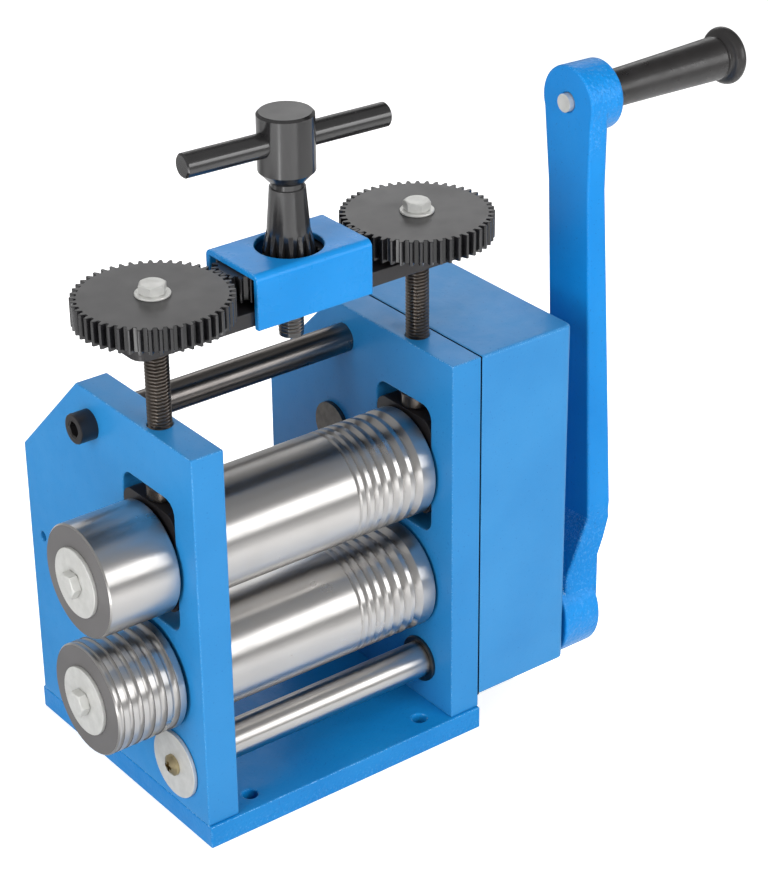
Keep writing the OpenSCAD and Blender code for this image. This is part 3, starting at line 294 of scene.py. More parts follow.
class Finish:
    """A material under construction around one Principled shader."""

    def __init__(self, name, **constants):
        self.material = bpy.data.materials.new(name)
        self.material.use_nodes = True
        self.tree = self.material.node_tree
        self.shader = self.tree.nodes["Principled BSDF"]
        for socket, value in constants.items():
            self.shader.inputs[socket.replace("_", " ")].default_value = value
        self.place = self.node("ShaderNodeTexCoord").outputs["Object"]

    def node(self, kind, **settings):
        made = self.tree.nodes.new(kind)
        for key, value in settings.items():
            setattr(made, key, value)
        return made

    def link(self, output, target):
        self.tree.links.new(output, target)

    def noise(self, scale, detail=3.0, stretch=(1, 1, 1)):
        mapping = self.node("ShaderNodeMapping")
        mapping.inputs["Scale"].default_value = stretch
        self.link(self.place, mapping.inputs["Vector"])
        texture = self.node("ShaderNodeTexNoise")
        texture.inputs["Scale"].default_value = scale
        texture.inputs["Detail"].default_value = detail
        self.link(mapping.outputs["Vector"], texture.inputs["Vector"])
        return texture.outputs["Fac"]

    def cells(self, scale):
        texture = self.node("ShaderNodeTexVoronoi", feature="SMOOTH_F1")
        texture.inputs["Scale"].default_value = scale
        self.link(self.place, texture.inputs["Vector"])
        return texture.outputs["Distance"]

    def spread(self, source, low, high, to_low, to_high):
        """Maps a value from one range to another and holds it there."""
        ramp = self.node("ShaderNodeMapRange", clamp=True)
        for socket, value in (("From Min", low), ("From Max", high),
                              ("To Min", to_low), ("To Max", to_high)):
            ramp.inputs[socket].default_value = value
        self.link(source, ramp.inputs["Value"])
        return ramp.outputs["Result"]

    def clouds(self, scale, detail=4, low=0.35, high=0.7, most=1):
        """Soft patches that run from 0 to a highest value."""
        return self.spread(self.noise(scale, detail), low, high, 0, most)

    def uneven(self, gloss, more, scale):
        """Roughness that wanders between a value and that value and a little more."""
        return self.spread(self.noise(scale, 3), 0.3, 0.7, gloss, gloss + more)

    def combine(self, operation, first, second):
        made = self.node("ShaderNodeMath", operation=operation)
        self.link(first, made.inputs[0])
        self.link(second, made.inputs[1])
        return made.outputs["Value"]

    def plus(self, first, second):
        return self.combine("ADD", first, second)

    def times(self, first, second):
        return self.combine("MULTIPLY", first, second)

    def share(self, source, least, most):
        """Maps a value between 0 and 1 to another range."""
        return self.spread(source, 0, 1, least, most)

    def colour(self, factor, first, second):
        """Mixes two colours by a factor. Each is a tuple, or the output of an earlier mix."""
        mixed = self.node("ShaderNodeMix", data_type="RGBA")
        self.link(factor, mixed.inputs["Factor"])
        for socket, value in ((mixed.inputs[6], first), (mixed.inputs[7], second)):
            if isinstance(value, tuple):
                socket.default_value = (*value, 1)
            else:
                self.link(value, socket)
        return mixed.outputs[2]

    def bump(self, height, distance, strength=1.0, below=None):
        """Bump from a height, laid over an earlier one if there is one."""
        raised = self.node("ShaderNodeBump")
        raised.inputs["Strength"].default_value = strength
        raised.inputs["Distance"].default_value = distance
        self.link(height, raised.inputs["Height"])
        if below is not None:
            self.link(below, raised.inputs["Normal"])
        return raised.outputs["Normal"]

    def edge_mask(self, radius, sharp=0.75, flat=0.985):
        """1 along edges and 0 on flat faces, from how far rounding would turn the surface. The
        rounded normal is kept in self.soft."""
        self.soft = self.node("ShaderNodeBevel", samples=4).outputs["Normal"]
        self.soft.node.inputs["Radius"].default_value = radius
        true_normal = self.node("ShaderNodeNewGeometry").outputs["True Normal"]
        dot = self.node("ShaderNodeVectorMath", operation="DOT_PRODUCT")
        self.link(self.soft, dot.inputs[0])
        self.link(true_normal, dot.inputs[1])
        return self.spread(dot.outputs["Value"], sharp, flat, 1.0, 0.0)

    def axis(self, source, name):
        """One component of a vector."""
        parts = self.node("ShaderNodeSeparateXYZ")
        self.link(source, parts.inputs[0])
        return parts.outputs[name]

    def facing(self, name, slanted=0.9, square=0.97):
        """1 on faces square to an axis of the frame, whichever way they look."""
        true_normal = self.node("ShaderNodeNewGeometry").outputs["True Normal"]
        size = self.node("ShaderNodeMath", operation="ABSOLUTE")
        self.link(self.axis(true_normal, name), size.inputs[0])
        return self.spread(size.outputs["Value"], slanted, square, 0, 1)

    def finish(self, colour, roughness, normal):
        self.link(colour, self.shader.inputs["Base Color"])
        self.link(roughness, self.shader.inputs["Roughness"])
        self.link(normal, self.shader.inputs["Normal"])
        return self.material


# The first colour is a painted edge highlight, the third a painted glint on the hammered zones.
EDGE_HIGHLIGHT_BLUE = (0.45, 0.72, 0.95)
PIT_BLUE = (0.004, 0.08, 0.3)
GLINT_BLUE = (0.2, 0.5, 0.85)
HAMMER_DEPTH = 0.6 * MM
HAMMER_FADE = 4 * MM


def paint(name, deep, light, grain, lump, gloss, rough_from=None, rough_to=None, edge=0.9 * MM):
    """Blue enamel: clouded colour, painted highlight specks along edges, most where an edge
    turns upward, orange peel over the ground below. grain is the depth of the fine texture,
    lump of the casting's waviness, in metres. The casting is hammered below the first height and
    above the second, with painted glints there. edge is how far the painted edge highlight
    reaches in from an edge."""
    f = Finish(name, IOR=1.45, Coat_Weight=0.08, Coat_Roughness=0.15, Specular_IOR_Level=0.25)
    colour = f.colour(f.clouds(22, high=0.68), deep, light)
    # Painted highlight: light specks along edges, strongest where an edge turns upward.
    highlight_speck = f.spread(f.noise(1500, 2), 0.5, 0.62, 0, 1)
    edge_highlight = f.times(f.edge_mask(edge), highlight_speck)
    upward_highlight = f.spread(f.axis(f.soft, "Z"), 0.15, 0.5, 0.35, 1)
    edge_highlight = f.times(edge_highlight, upward_highlight)
    colour = f.colour(f.spread(edge_highlight, 0, 0.6, 0, 0.8), colour, EDGE_HIGHLIGHT_BLUE)
    pits = f.spread(f.noise(900, 1), 0.26, 0.32, 1, 0)
    colour = f.colour(f.share(pits, 0, 0.35), colour, PIT_BLUE)
    rough = f.uneven(gloss, 0.14, 130)
    normal = f.bump(f.plus(f.noise(700, 2), f.cells(520)), grain, below=f.soft)
    normal = f.bump(f.noise(110, 2), lump, below=normal)
    if rough_from is not None:
        height = f.axis(f.place, "Z")
        near = f.spread(height, rough_from - HAMMER_FADE, rough_from + HAMMER_FADE, 1, 0)
        if rough_to is not None:
            above = f.spread(height, rough_to - HAMMER_FADE, rough_to + HAMMER_FADE, 0, 1)
            near = f.plus(near, above)
        near = f.times(near, f.share(f.facing("X"), 1, 0.1))
        normal = f.bump(f.times(f.noise(620, 2), near), HAMMER_DEPTH, below=normal)
        # Painted glints: lighter specks on the hammered zones.
        glint = f.times(f.spread(f.noise(820, 1), 0.58, 0.68, 0, 0.16), near)
        colour = f.colour(glint, colour, GLINT_BLUE)
    return f.finish(colour, rough, normal)


def steel(name, tint, dark, gloss, rings, mark=0.5, ends=None, ring_depth=0.012 * MM, drawn=0.0):
    """Turned or ground steel: fine rings square to X and cloudy oil marks. ends is the colour
    of faces square to X, drawn is how far the rings draw reflections out along X."""
    f = Finish(name, Metallic=1.0, Anisotropic=drawn, Anisotropic_Rotation=0.25)
    if drawn:
        around = f.node("ShaderNodeTangent", direction_type="RADIAL", axis="X")
        f.link(around.outputs["Tangent"], f.shader.inputs["Tangent"])
    lines = f.noise(1.0, 3, stretch=(rings, 9, 9))
    colour = f.colour(f.clouds(36, low=0.38, most=mark), tint, dark)
    rough = f.uneven(gloss, 0.08, 60)
    if ends is not None:
        face = f.facing("X")
        colour = f.colour(face, colour, ends)
        rough = f.plus(rough, f.share(face, 0, 0.3))
        f.link(f.share(face, 1, 0.3), f.shader.inputs["Metallic"])
    return f.finish(colour, rough, f.bump(lines, ring_depth, 0.35))


def plated(name, tint, dark, gloss, metallic=1.0):
    """Zinc or nickel plate: slight mottling, small dents and duller patches."""
    f = Finish(name, Metallic=metallic)
    colour = f.colour(f.clouds(240), tint, dark)
    rough = f.uneven(gloss, 0.15, 420)
    return f.finish(colour, rough, f.bump(f.noise(800, 2), 0.005 * MM, 0.4))


def blackened(name, base, worn, gloss, index, wear=0.4, grain=0.006 * MM, painted_top_sheen=None):
    """Black oxide on machined steel: brown-black with rubbed, brighter edges. The last argument,
    when given, paints level faces a lighter colour: a painted sheen for the reflection they
    catch."""
    f = Finish(name, IOR=index)
    colour = f.colour(f.clouds(90), base, tuple(1.25 * c for c in base))
    # Painted sheen: level faces get a lighter colour for the reflection they catch.
    if painted_top_sheen is not None:
        colour = f.colour(f.facing("Z"), colour, painted_top_sheen)
    patchy = f.spread(f.noise(500, 3), 0.35, 0.65, 0.3, 1)
    rubbed = f.times(f.edge_mask(0.5 * MM), patchy)
    colour = f.colour(f.share(rubbed, 0, wear), colour, worn)
    rough = f.uneven(gloss, 0.06, 120)
    rough = f.plus(rough, f.share(f.facing("Z"), 0, 0.16))
    return f.finish(colour, rough, f.bump(f.noise(1400, 3), grain, 0.6))


def moulded(name, base, gloss):
    """Satin black moulded plastic with a fine spark-eroded grain."""
    f = Finish(name, IOR=1.5)
    colour = f.colour(f.clouds(60, 3), base, tuple(1.6 * c for c in base))
    rough = f.uneven(gloss, 0.15, 250)
    return f.finish(colour, rough, f.bump(f.noise(1800, 2), 0.01 * MM, 0.5))


PLATE_BLUE = paint("plate_blue", deep=(0.018, 0.19, 0.46), light=(0.023, 0.21, 0.495),
                   grain=0.012 * MM, lump=0.05 * MM, gloss=0.3)
COVER_BLUE = paint("cover_blue", deep=(0.026, 0.2, 0.47), light=(0.034, 0.228, 0.51),
                   grain=0.03 * MM, lump=0.1 * MM, gloss=0.34, edge=1.8 * MM)
BASE_BLUE = paint("base_blue", deep=(0.003, 0.165, 0.45), light=(0.008, 0.2, 0.5),
                  grain=0.06 * MM, lump=0.12 * MM, gloss=0.32, rough_from=BASE_TOP - 6 * MM)
CRANK_BLUE = paint("crank_blue", deep=(0.002, 0.195, 0.56), light=(0.006, 0.225, 0.61),
                   grain=0.02 * MM, lump=0.1 * MM, gloss=0.3, rough_from=80 * MM,
                   rough_to=247 * MM)
BRACKET_BLUE = paint("bracket_blue", deep=(0.005, 0.2, 0.54), light=(0.01, 0.225, 0.59),
                     grain=0.02 * MM, lump=0.06 * MM, gloss=0.24)
ROLL_STEEL = steel("roll_steel", tint=(0.6, 0.585, 0.57), dark=(0.5, 0.485, 0.47), gloss=0.27,
                   rings=900, mark=0.2, ends=(0.15, 0.145, 0.145), ring_depth=0.003 * MM,
                   drawn=0.85)
SHAFT_STEEL = steel("shaft_steel", tint=(0.62, 0.6, 0.58), dark=(0.5, 0.48, 0.46), gloss=0.28,
                    rings=300, mark=0.3, ring_depth=0.004 * MM, drawn=0.8)
ROD_STEEL = steel("rod_steel", tint=(0.2, 0.185, 0.175), dark=(0.14, 0.13, 0.125), gloss=0.26,
                  rings=300, mark=0.5, ring_depth=0.004 * MM, drawn=0.8)
GEAR_STEEL = steel("gear_steel", tint=(0.42, 0.42, 0.43), dark=(0.24, 0.235, 0.23), gloss=0.3,
                   rings=300, mark=0.8)
ZINC = plated("zinc", tint=(0.62, 0.62, 0.6), dark=(0.54, 0.54, 0.52), gloss=0.32, metallic=0.4)
YELLOW_ZINC = plated("yellow_zinc", tint=(0.6, 0.5, 0.3), dark=(0.42, 0.34, 0.2), gloss=0.3)
BRONZE = plated("bronze", tint=(0.4, 0.29, 0.16), dark=(0.27, 0.19, 0.1), gloss=0.35)
STUD_GREY = plated("stud_grey", tint=(0.13, 0.12, 0.11), dark=(0.08, 0.075, 0.07), gloss=0.3)
THREAD_STEEL = steel("thread_steel", tint=(0.2, 0.175, 0.155), dark=(0.1, 0.09, 0.082),
                     gloss=0.25, rings=200, mark=0.8)
GUNMETAL = blackened("gunmetal", base=(0.011, 0.0105, 0.011), worn=(0.1, 0.1, 0.1), gloss=0.17,
                     index=1.75)
OXIDE = blackened("oxide", base=(0.011, 0.01, 0.011), worn=(0.08, 0.08, 0.08), gloss=0.3,
                  index=1.5)
GEAR_BLACK = blackened("gear_black", base=(0.008, 0.0078, 0.009), worn=(0.09, 0.09, 0.09),
                       gloss=0.18, index=1.6, painted_top_sheen=(0.03, 0.029, 0.03))
GRIP_BLACK = moulded("grip_black", base=(0.016, 0.015, 0.015), gloss=0.26)
# Painted shade: near-black, barely reflecting colour for the shadow in the cover's joint.
JOINT_SHADE_BLACK = blackened("joint_shade", base=(0.001, 0.0015, 0.004), worn=(0.001, 0.0015, 0.004),
                      gloss=0.8, index=1.05, wear=0.0, grain=0.01 * MM)


# CAD nodes: the large ones with rounded edges, the small ones with a finish alone

BOSS_REACH = 2.5 * MM
BOSS_TOP = 60 * MM


def off_boss(edge):
    """Keeps to the crank arm's edges that stay clear of its boss."""
    return all(abs(v.co.x - ARM_INNER) > BOSS_REACH or v.co.z > BOSS_TOP for v in edge.verts)


soften("base_plate", "frame", BASE_BLUE, radius=0.7 * MM)
soften("left_side_plate", "frame", PLATE_BLUE, radius=0.6 * MM)
soften("right_side_plate", "frame", PLATE_BLUE, radius=0.45 * MM)
soften("gearbox_cover", "frame", COVER_BLUE, radius=1.3 * MM, steps=3)
soften("gear_bracket", "carriage", BRACKET_BLUE, radius=0.35 * MM)
soften("bridge_bar", "carriage", OXIDE, radius=0.5 * MM)
soften("crank_arm", "crank", CRANK_BLUE, radius=1.2 * MM, steps=3, chosen=off_boss)
for node in ("left_bearing_block", "right_bearing_block"):
    dress(node, OXIDE, edge=0.4 * MM)
for node in ("left_lower_bush", "right_lower_bush"):
    dress(node, BRONZE, edge=0.25 * MM)
for node in ("left_shaft_bush", "right_shaft_bush", "cover_shaft_bush"):
    dress(node, STUD_GREY, edge=0.25 * MM)
dress("cover_stud", STUD_GREY, edge=0.5 * MM)
dress("tie_rod", ROD_STEEL, edge=0.8 * MM)
dress("drive_shaft", SHAFT_STEEL, edge=0.6 * MM)
for node in ("upper_end_washer", "lower_end_washer", "shaft_end_washer", "crank_washer",
             "left_gear_washer", "right_gear_washer"):
    dress(node, ZINC, edge=0.35 * MM, steps=3)
for node in ("upper_roll_gear", "lower_roll_gear", "drive_wheel", "drive_pinion",
             "upper_roll_keys", "lower_roll_keys", "drive_keys", "upper_gear_nut",
             "lower_gear_nut"):
    dress(node, GEAR_STEEL, edge=0.25 * MM)
for node in ("block_grub_screws", "base_screws", "cover_screws", "spindle_nut"):
    dress(node, OXIDE, edge=0.3 * MM)
for node in ("bracket_screws", "idler_pins", "grip_bolt"):
    dress(node, ZINC, edge=0.4 * MM)
dress("shaft_end_screw", YELLOW_ZINC, edge=0.25 * MM)
for node in ("left_screw_gear", "right_screw_gear", "left_idler_gear", "right_idler_gear"):
    dress(node, GEAR_BLACK, edge=0.15 * MM)
dress("handle_spindle", GUNMETAL, edge=0.3 * MM)
dress("tee_bar", GUNMETAL, edge=0.2 * MM)
for node in ("upper_roll", "lower_roll", "plain_side_roll", "grooved_side_roll"):
    dress(node, ROLL_STEEL)


# Pieces made here in place of CAD nodes. Their profiles are (radius, height) points in mm.

# Hexagon bolts: corner radius, head height and shank radius
M6 = (5.77, 4, 3)
M8 = (7.5, 5.3, 4)
END_BOLT_LENGTH = 22
GEAR_BOLT_LENGTH = 11
GEAR_BOLT_TURN = 12
CRANK_BOLT_LENGTH = 22
# The tie rod's socket head screws: head radius and height, socket corner, shank radius, length
TIE_SCREW = (6.5, 8, 3.46, 4, 28)
# How far the tip of a screw is drawn in, and over what height
TIP_IN, TIP_UP = 0.5, 0.6

SCREW_PITCH = 1.5 * MM
# The right side plate's outline: its corner at the back, and the length of its level top
PLATE_BACK = 134.7 * MM
PLATE_FLAT = 83.7 * MM


def in_mm(profile):
    """Profile in metres from one in mm."""
    return [(entry[0] * MM, entry[1] * MM, *(corner * MM for corner in entry[2:]))
            for entry in profile]


def hex_bolt(corner, height, shank, length):
    """Hexagon bolt about +Z, its head standing on z = 0, with a chamfered crown. In mm."""
    flat = corner * math.cos(math.pi / 6)
    crown_r, crown_slope, crown_steps, dish = flat * 0.93, 0.577, 5, 0.12
    crown = []
    for k in range(crown_steps + 1):
        out = corner + (crown_r - corner) * k / crown_steps
        crown.append((out, height - (out - crown_r) * crown_slope, corner))
    profile = [(0, -length), (shank - TIP_IN, -length), (shank, TIP_UP - length), (shank, 0),
               (flat * 0.97, 0), (flat * 0.985, 0.15), (corner, 0.4, corner)] + crown
    profile += [(flat * 0.6, height), (flat * 0.5, height - dish), (0, height - dish)]
    return turned(in_mm(profile))


def socket_screw(radius, height, corner, shank, length):
    """Socket head screw about +Z, its head standing on z = 0. In mm."""
    return turned(in_mm([
        (0, -length), (shank - TIP_IN, -length), (shank, TIP_UP - length), (shank, 0),
        (radius, 0), (radius, height - 0.7), (radius - 0.25, height - 0.2),
        (radius - 0.7, height), (corner * 1.12, height), (corner, height - 0.5, corner),
        (corner, height * 0.45, corner), (corner * 0.5, height * 0.4), (0, height * 0.38)]))


def build_bolts():
    """The hexagon bolts in sight: two on the side rolls, two on the screw gears, the crank's."""
    washer_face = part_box("upper_end_washer")[0].x
    for node, body, z in (("upper_end_bolt", "upper_roll_set", UPPER_Z),
                          ("lower_end_bolt", "lower_roll_set", LOWER_Z)):
        shape = Shape().add(hex_bolt(*M6, END_BOLT_LENGTH),
                            along_x(washer_face, ROLL_Y, z, flip=True))
        make_piece(node + "_made", shape, body, ZINC, BOLT_CREASE, [node])
    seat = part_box("left_gear_washer")[1].z
    for side, sign in (("left", -1), ("right", 1)):
        shape = Shape().add(hex_bolt(*M6, GEAR_BOLT_LENGTH),
                            upright(sign * SCREW_X, ROLL_Y, seat, GEAR_BOLT_TURN * sign))
        make_piece(side + "_gear_bolt_made", shape, side + "_screw", ZINC,
                   BOLT_CREASE, [side + "_gear_bolt"])
    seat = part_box("crank_washer")[1].x
    shape = Shape().add(hex_bolt(*M8, CRANK_BOLT_LENGTH), along_x(seat, SHAFT.y, SHAFT.z))
    make_piece("crank_bolt_made", shape, "crank", ZINC, BOLT_CREASE,
               ["crank_bolt"])


def build_tie_screws():
    """The two screws in the ends of the tie rod."""
    tie = middle("tie_rod_screws")
    shape = Shape()
    for sign in (-1, 1):
        shape.add(socket_screw(*TIE_SCREW),
                  along_x(sign * HALF_WIDTH, tie.y, tie.z, flip=sign < 0))
    make_piece("tie_screws_made", shape, "frame", OXIDE, BOLT_CREASE,
               ["tie_rod_screws"])


def build_adjusting_screws():
    """Threaded stems with their collars, feet and driven necks."""
    low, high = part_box("left_adjusting_screw")
    foot, head, bar = low.z / MM, high.z / MM, BAR_UNDERSIDE / MM
    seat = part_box("left_bearing_block")[1].z / MM
    outer, core, neck, groove, spigot = 5, 4.2, 4.5, 3.4, 4.95
    collar, collar_edge, collar_top = 7, 6.6, 5.85
    lip, groove_top = 1.5, 5
    body = turned(in_mm([
        (0, foot), (4.4, foot), (outer, foot + 0.6), (outer, foot + lip), (groove, foot + lip),
        (groove, foot + groove_top), (outer, foot + groove_top), (outer, seat + 0.05),
        (collar_edge, seat + 0.05), (collar, seat + 0.45), (collar, seat + 5.4),
        (collar_edge, seat + collar_top), (core, seat + collar_top), (core, bar - 0.9),
        (spigot, bar - 0.6), (spigot, bar - 0.05), (neck, bar - 0.05), (neck, head),
        (0, head)]), 64)
    thread = threaded((seat + 5.9) * MM, (bar - 0.7) * MM, radius=5 * MM, pitch=SCREW_PITCH,
                      depth=0.75 * MM)
    for side, sign in (("left", -1), ("right", 1)):
        place = upright(sign * SCREW_X, ROLL_Y, 0)
        shape = Shape().add(body, place).add(thread, place)
        make_piece(side + "_screw_made", shape, side + "_screw", THREAD_STEEL,
                   THREAD_CREASE, [side + "_adjusting_screw"])


def build_spindle_thread():
    """Thread ridges on the spindle's tail below its nut."""
    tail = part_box("handle_spindle")[0].z
    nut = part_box("spindle_nut")[0].z
    thread = threaded(tail + 0.4 * MM, nut - 0.1 * MM, radius=5.22 * MM, pitch=SCREW_PITCH,
                      depth=0.4 * MM)
    shape = Shape().add(thread, upright(0, ROLL_Y, 0))
    make_piece("spindle_thread", shape, "handle", THREAD_STEEL, THREAD_CREASE)


def build_grip():
    """Moulded grip: slim neck, swelling body, a groove and a full round end flange."""
    low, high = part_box("crank_grip")
    start, end = low.x / MM, high.x / MM
    neck, body, flange, bead = 8.0, 9.6, 12.7, 3.0
    mouth, mouth_depth, bore = 7.3, 6, 4.55
    swell_steps, bead_steps = 8, 12
    # The groove before the flange: how deep it is, at each distance from the end
    groove = ((0.25, 8.7), (0.75, 8.1), (0.9, 7.5), (0.8, 6.9), (0.2, 6.2))
    shoulder = start + 0.6
    swell = end - 9.4 - shoulder
    outer = [(neck - 0.8, start), (neck - 0.25, start + 0.15), (neck, shoulder)]
    outer += [(neck + (body - neck) * (k / swell_steps) ** 1.2,
               shoulder + swell * k / swell_steps) for k in range(1, swell_steps + 1)]
    outer += [(body - depth, end - back) for depth, back in groove]
    outer += [(flange - bead + bead * math.sin(math.pi * k / bead_steps),
               end - bead - bead * math.cos(math.pi * k / bead_steps))
              for k in range(1, bead_steps + 1)]
    outer += [(mouth, end), (mouth, end - mouth_depth), (bore, end - mouth_depth),
              (bore, start), (neck - 0.8, start)]
    shape = Shape().add(turned(in_mm(outer)), along_x(0, GRIP.y, GRIP.z))
    make_piece("grip_made", shape, "grip", GRIP_BLACK, GRIP_CREASE,
               ["crank_grip"])


def build_joint_shade():
    """Black strip in the joint between the cover and its plate, sunk in their broken edges:
    painted shade for the shadow in the crack.
    """
    low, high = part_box("right_side_plate")
    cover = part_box("gearbox_cover")[0].z
    inset, width, half_height, edge = 0.06 * MM, 3 * MM, 0.5 * MM, 0.05 * MM
    loop = [Vector(p) for p in ((low.y, cover), (high.y, cover), (high.y, PLATE_BACK),
                                (low.y + PLATE_FLAT, high.z), (low.y, high.z))]
    ring = [tuple(p) for p in mitred(loop, width)]
    line = slab(mitred(loop, inset), [ring], -half_height, half_height, edge, 1)
    shape = Shape().add(line, along_x(HALF_WIDTH, 0, 0))
    make_piece("cover_joint_shade", shape, "frame", JOINT_SHADE_BLACK, LINE_CREASE)


build_bolts()
build_tie_screws()
build_adjusting_screws()
build_spindle_thread()
build_grip()
build_joint_shade()


# Bench, lights and camera. Bearings are in degrees, 0 at the front and 90 on the crank's side.

# The point that the lamps and cards face
AIM = Vector((0.02, -0.02, 0.13))
# Name, azimuth, elevation, distance, width and height, level
LAMPS = (
    ("key", 10, 22, 1.6, (1.2, 1.0), 0.97),
    ("left_fill", -78, 18, 1.6, (1.0, 1.2), 1.0),
    ("top_soft", 20, 78, 1.5, (1.0, 0.8), 0.08),
    ("back_fill", 130, 30, 1.6, (1.0, 1.0), 0.5),
)
# Name, azimuth, elevation, distance, width and height, glow
SKY_CARDS = (
    ("dark_ceiling", 116, 50, 1.3, (1.9, 0.55), 0.0),
    ("front_glow", 35, 16, 1.5, (1.1, 0.6), 3.2),
    ("front_strip", 36, 24, 1.48, (0.9, 0.12), 5),
    ("back_glow", 144, 26, 1.5, (0.9, 0.5), 1.8),
)
# The object's bench ends beside it, so that the crank can swing past its edge
BENCH_EDGE_X = 0.108
BENCH_HEIGHT = 0.45
FLOOR_REACH = 6.0
# The grey card on the bench that the ends of the rolls reflect
GREY_X = (-0.45, -0.08)
GREY_Y = (-0.1, 0.6)
GREY_Z = 1 * MM
GREY_SHADE = 0.4
BLACK_SHADE = 0.01
STRIP_Z = 2 * MM


def bench_material(name, seen_glow, mirrored_glow):
    """Pale matt surface, lifted to white for the camera."""
    material = bpy.data.materials.new(name)
    material.use_nodes = True
    tree = material.node_tree
    shader = tree.nodes["Principled BSDF"]
    shader.inputs["Base Color"].default_value = (0.86, 0.86, 0.86, 1)
    shader.inputs["Roughness"].default_value = 0.8
    shader.inputs["Specular IOR Level"].default_value = 0.2
    shader.inputs["Emission Color"].default_value = WHITE
    path = tree.nodes.new("ShaderNodeLightPath")
    parts = []
    for ray, level in (("Is Camera Ray", seen_glow), ("Is Glossy Ray", mirrored_glow)):
        part = tree.nodes.new("ShaderNodeMath")
        part.operation = "MULTIPLY"
        part.inputs[1].default_value = level
        tree.links.new(path.outputs[ray], part.inputs[0])
        parts.append(part.outputs["Value"])
    glow = tree.nodes.new("ShaderNodeMath")
    tree.links.new(parts[0], glow.inputs[0])
    tree.links.new(parts[1], glow.inputs[1])
    tree.links.new(glow.outputs["Value"], shader.inputs["Emission Strength"])
    return material


def build_bench():
    """Pale bench top whose edge leaves room for the crank, and the floor level below it."""
    rows = [(-FLOOR_REACH, 0.0), (BENCH_EDGE_X, 0.0), (BENCH_EDGE_X, -BENCH_HEIGHT),
            (FLOOR_REACH, -BENCH_HEIGHT)]
    mesh = bpy.data.meshes.new("bench")
    points = [(x, y, z) for x, z in rows for y in (-FLOOR_REACH, FLOOR_REACH)]
    mesh.from_pydata(points, [], [[0, 2, 3, 1], [2, 4, 5, 3], [4, 6, 7, 5]])
    mesh.polygons.foreach_set("material_index", [0, 1, 1])
    mesh.materials.append(bench_material("bench_white", seen_glow=0.58, mirrored_glow=0.1))
    mesh.materials.append(bench_material("below_white", seen_glow=0.9, mirrored_glow=0.3))
    bench = bpy.data.objects.new("bench", mesh)
    bpy.context.scene.collection.objects.link(bench)


def build_world():
    """White surroundings for the camera, a duller level for reflections and for soft light."""
    soft, mirrored, white = 0.25, 0.37, 1.0
    world = bpy.data.worlds.new("studio")
    bpy.context.scene.world = world
    world.use_nodes = True
    tree = world.node_tree
    tree.nodes.clear()
    path = tree.nodes.new("ShaderNodeLightPath")
    level = None
    for ray, gain in (("Is Camera Ray", white - soft), ("Is Transmission Ray", white - soft),
                      ("Is Glossy Ray", mirrored - soft)):
        step = tree.nodes.new("ShaderNodeMath")
        step.operation = "MULTIPLY_ADD"
        tree.links.new(path.outputs[ray], step.inputs[0])
        step.inputs[1].default_value = gain
        step.inputs[2].default_value = soft
        if level is not None:
            tree.links.new(level, step.inputs[2])
        level = step.outputs["Value"]
    background = tree.nodes.new("ShaderNodeBackground")
    background.inputs["Color"].default_value = WHITE
    tree.links.new(level, background.inputs["Strength"])
    out = tree.nodes.new("ShaderNodeOutputWorld")
    tree.links.new(background.outputs["Background"], out.inputs["Surface"])


def bearing(azimuth, elevation):
    """Direction from the object."""
    a, e = math.radians(azimuth), math.radians(elevation)
    return Vector((math.sin(a) * math.cos(e), -math.cos(a) * math.cos(e), math.sin(e)))


def add_lamp(name, azimuth, elevation, distance, size, level):
    """Soft box at a bearing from the object, its level 1 where a white card facing it looks
    white. Reflections see the glowing cards instead of it."""
    lamp = bpy.data.lights.new(name, "AREA")
    lamp.shape = "RECTANGLE"
    lamp.size, lamp.size_y = size
    lamp.energy = level * math.pi ** 2 * distance ** 2
    holder = bpy.data.objects.new(name, lamp)
    back = bearing(azimuth, elevation)
    holder.location = AIM + back * distance
    holder.rotation_mode = "QUATERNION"
    holder.rotation_quaternion = (-back).to_track_quat("-Z", "Y")
    bpy.context.scene.collection.objects.link(holder)
    holder.visible_camera = False
    holder.visible_glossy = False


def add_card(name, corners, glow=0.0, shade=BLACK_SHADE):
    """Card that only reflections see: dark for dark bands on polished metal, or glowing."""
    mesh = bpy.data.meshes.new(name)
    mesh.from_pydata([tuple(p) for p in corners], [], [[0, 1, 2, 3]])
    card = bpy.data.objects.new(name, mesh)
    material = bpy.data.materials.new(name)
    material.use_nodes = True
    shader = material.node_tree.nodes["Principled BSDF"]
    shader.inputs["Base Color"].default_value = (shade, shade, shade, 1)
    shader.inputs["Roughness"].default_value = 1.0
    shader.inputs["Specular IOR Level"].default_value = 0.0
    shader.inputs["Emission Color"].default_value = WHITE
    shader.inputs["Emission Strength"].default_value = glow
    mesh.materials.append(material)
    bpy.context.scene.collection.objects.link(card)
    card.visible_camera = False
    card.visible_diffuse = False
    card.visible_shadow = False
    card.visible_transmission = False


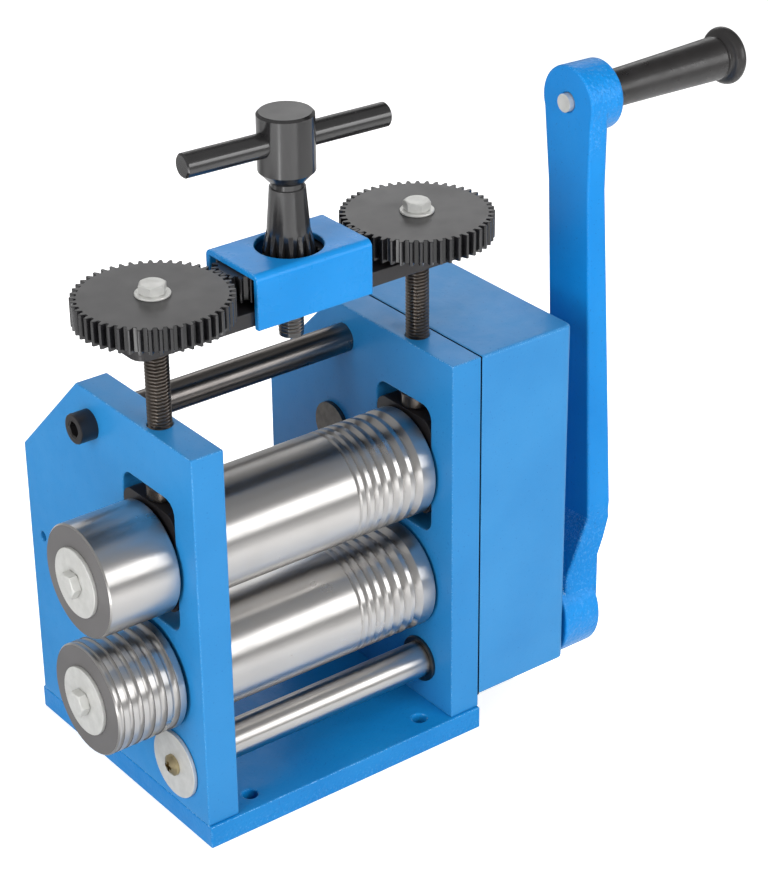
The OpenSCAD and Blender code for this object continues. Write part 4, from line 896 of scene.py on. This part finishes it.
def add_sky_card(name, azimuth, elevation, distance, size, glow):
    """Card at a bearing from the object, facing it."""
    back = bearing(azimuth, elevation)
    right = bearing(azimuth + 90, 0) * (size[0] / 2)
    up = bearing(azimuth, elevation + 90) * (size[1] / 2)
    place = AIM + back * distance
    add_card(name, [place - right - up, place + right - up, place + right + up,
                    place - right + up], glow)


def add_bench_strip(name, azimuth, near, far, width, glow):
    """Glowing strip on the bench, running away from the object."""
    out = bearing(azimuth, 0)
    side = bearing(azimuth + 90, 0) * (width / 2)
    start, end = AIM + out * near, AIM + out * far
    corners = [start - side, end - side, end + side, start + side]
    add_card(name, [(p.x, p.y, STRIP_Z) for p in corners], glow)


def build_camera():
    """Long lens at the photograph's viewing angle."""
    azimuth, elevation, roll = -37.341, 28.359, math.radians(-0.477)
    target = Vector((25.19, -64.85, 159.75)) * MM
    distance = 1.04603
    focal_px, middle_x, middle_y = 2591.5, 391.68, 437.57
    photo_w, photo_h, sensor = 768, 872, 36.0
    back = bearing(azimuth, elevation)
    right = bearing(azimuth + 90, 0)
    up = back.cross(right)
    turned_right = right * math.cos(roll) + up * math.sin(roll)
    turned_up = up * math.cos(roll) - right * math.sin(roll)
    data = bpy.data.cameras.new("camera")
    data.sensor_width = sensor
    data.lens = sensor * focal_px / photo_h
    data.shift_x = (photo_w / 2 - middle_x) / photo_h
    data.shift_y = (middle_y - photo_h / 2) / photo_h
    data.clip_start, data.clip_end = 0.05, 50
    camera = bpy.data.objects.new("camera", data)
    turn = Matrix((turned_right, turned_up, back)).transposed()
    camera.matrix_world = Matrix.Translation(target + back * distance) @ turn.to_4x4()
    bpy.context.scene.collection.objects.link(camera)
    bpy.context.scene.camera = camera


build_bench()
build_world()
for lamp_row in LAMPS:
    add_lamp(*lamp_row)
for card_row in SKY_CARDS:
    add_sky_card(*card_row)
add_bench_strip("side_streak", azimuth=-62, near=0.36, far=0.75, width=0.07, glow=6)
add_card("grey_bench", [(GREY_X[0], GREY_Y[0], GREY_Z), (GREY_X[1], GREY_Y[0], GREY_Z),
                        (GREY_X[1], GREY_Y[1], GREY_Z), (GREY_X[0], GREY_Y[1], GREY_Z)],
         shade=GREY_SHADE)
build_camera()
bpy.context.scene.view_settings.view_transform = "Standard"
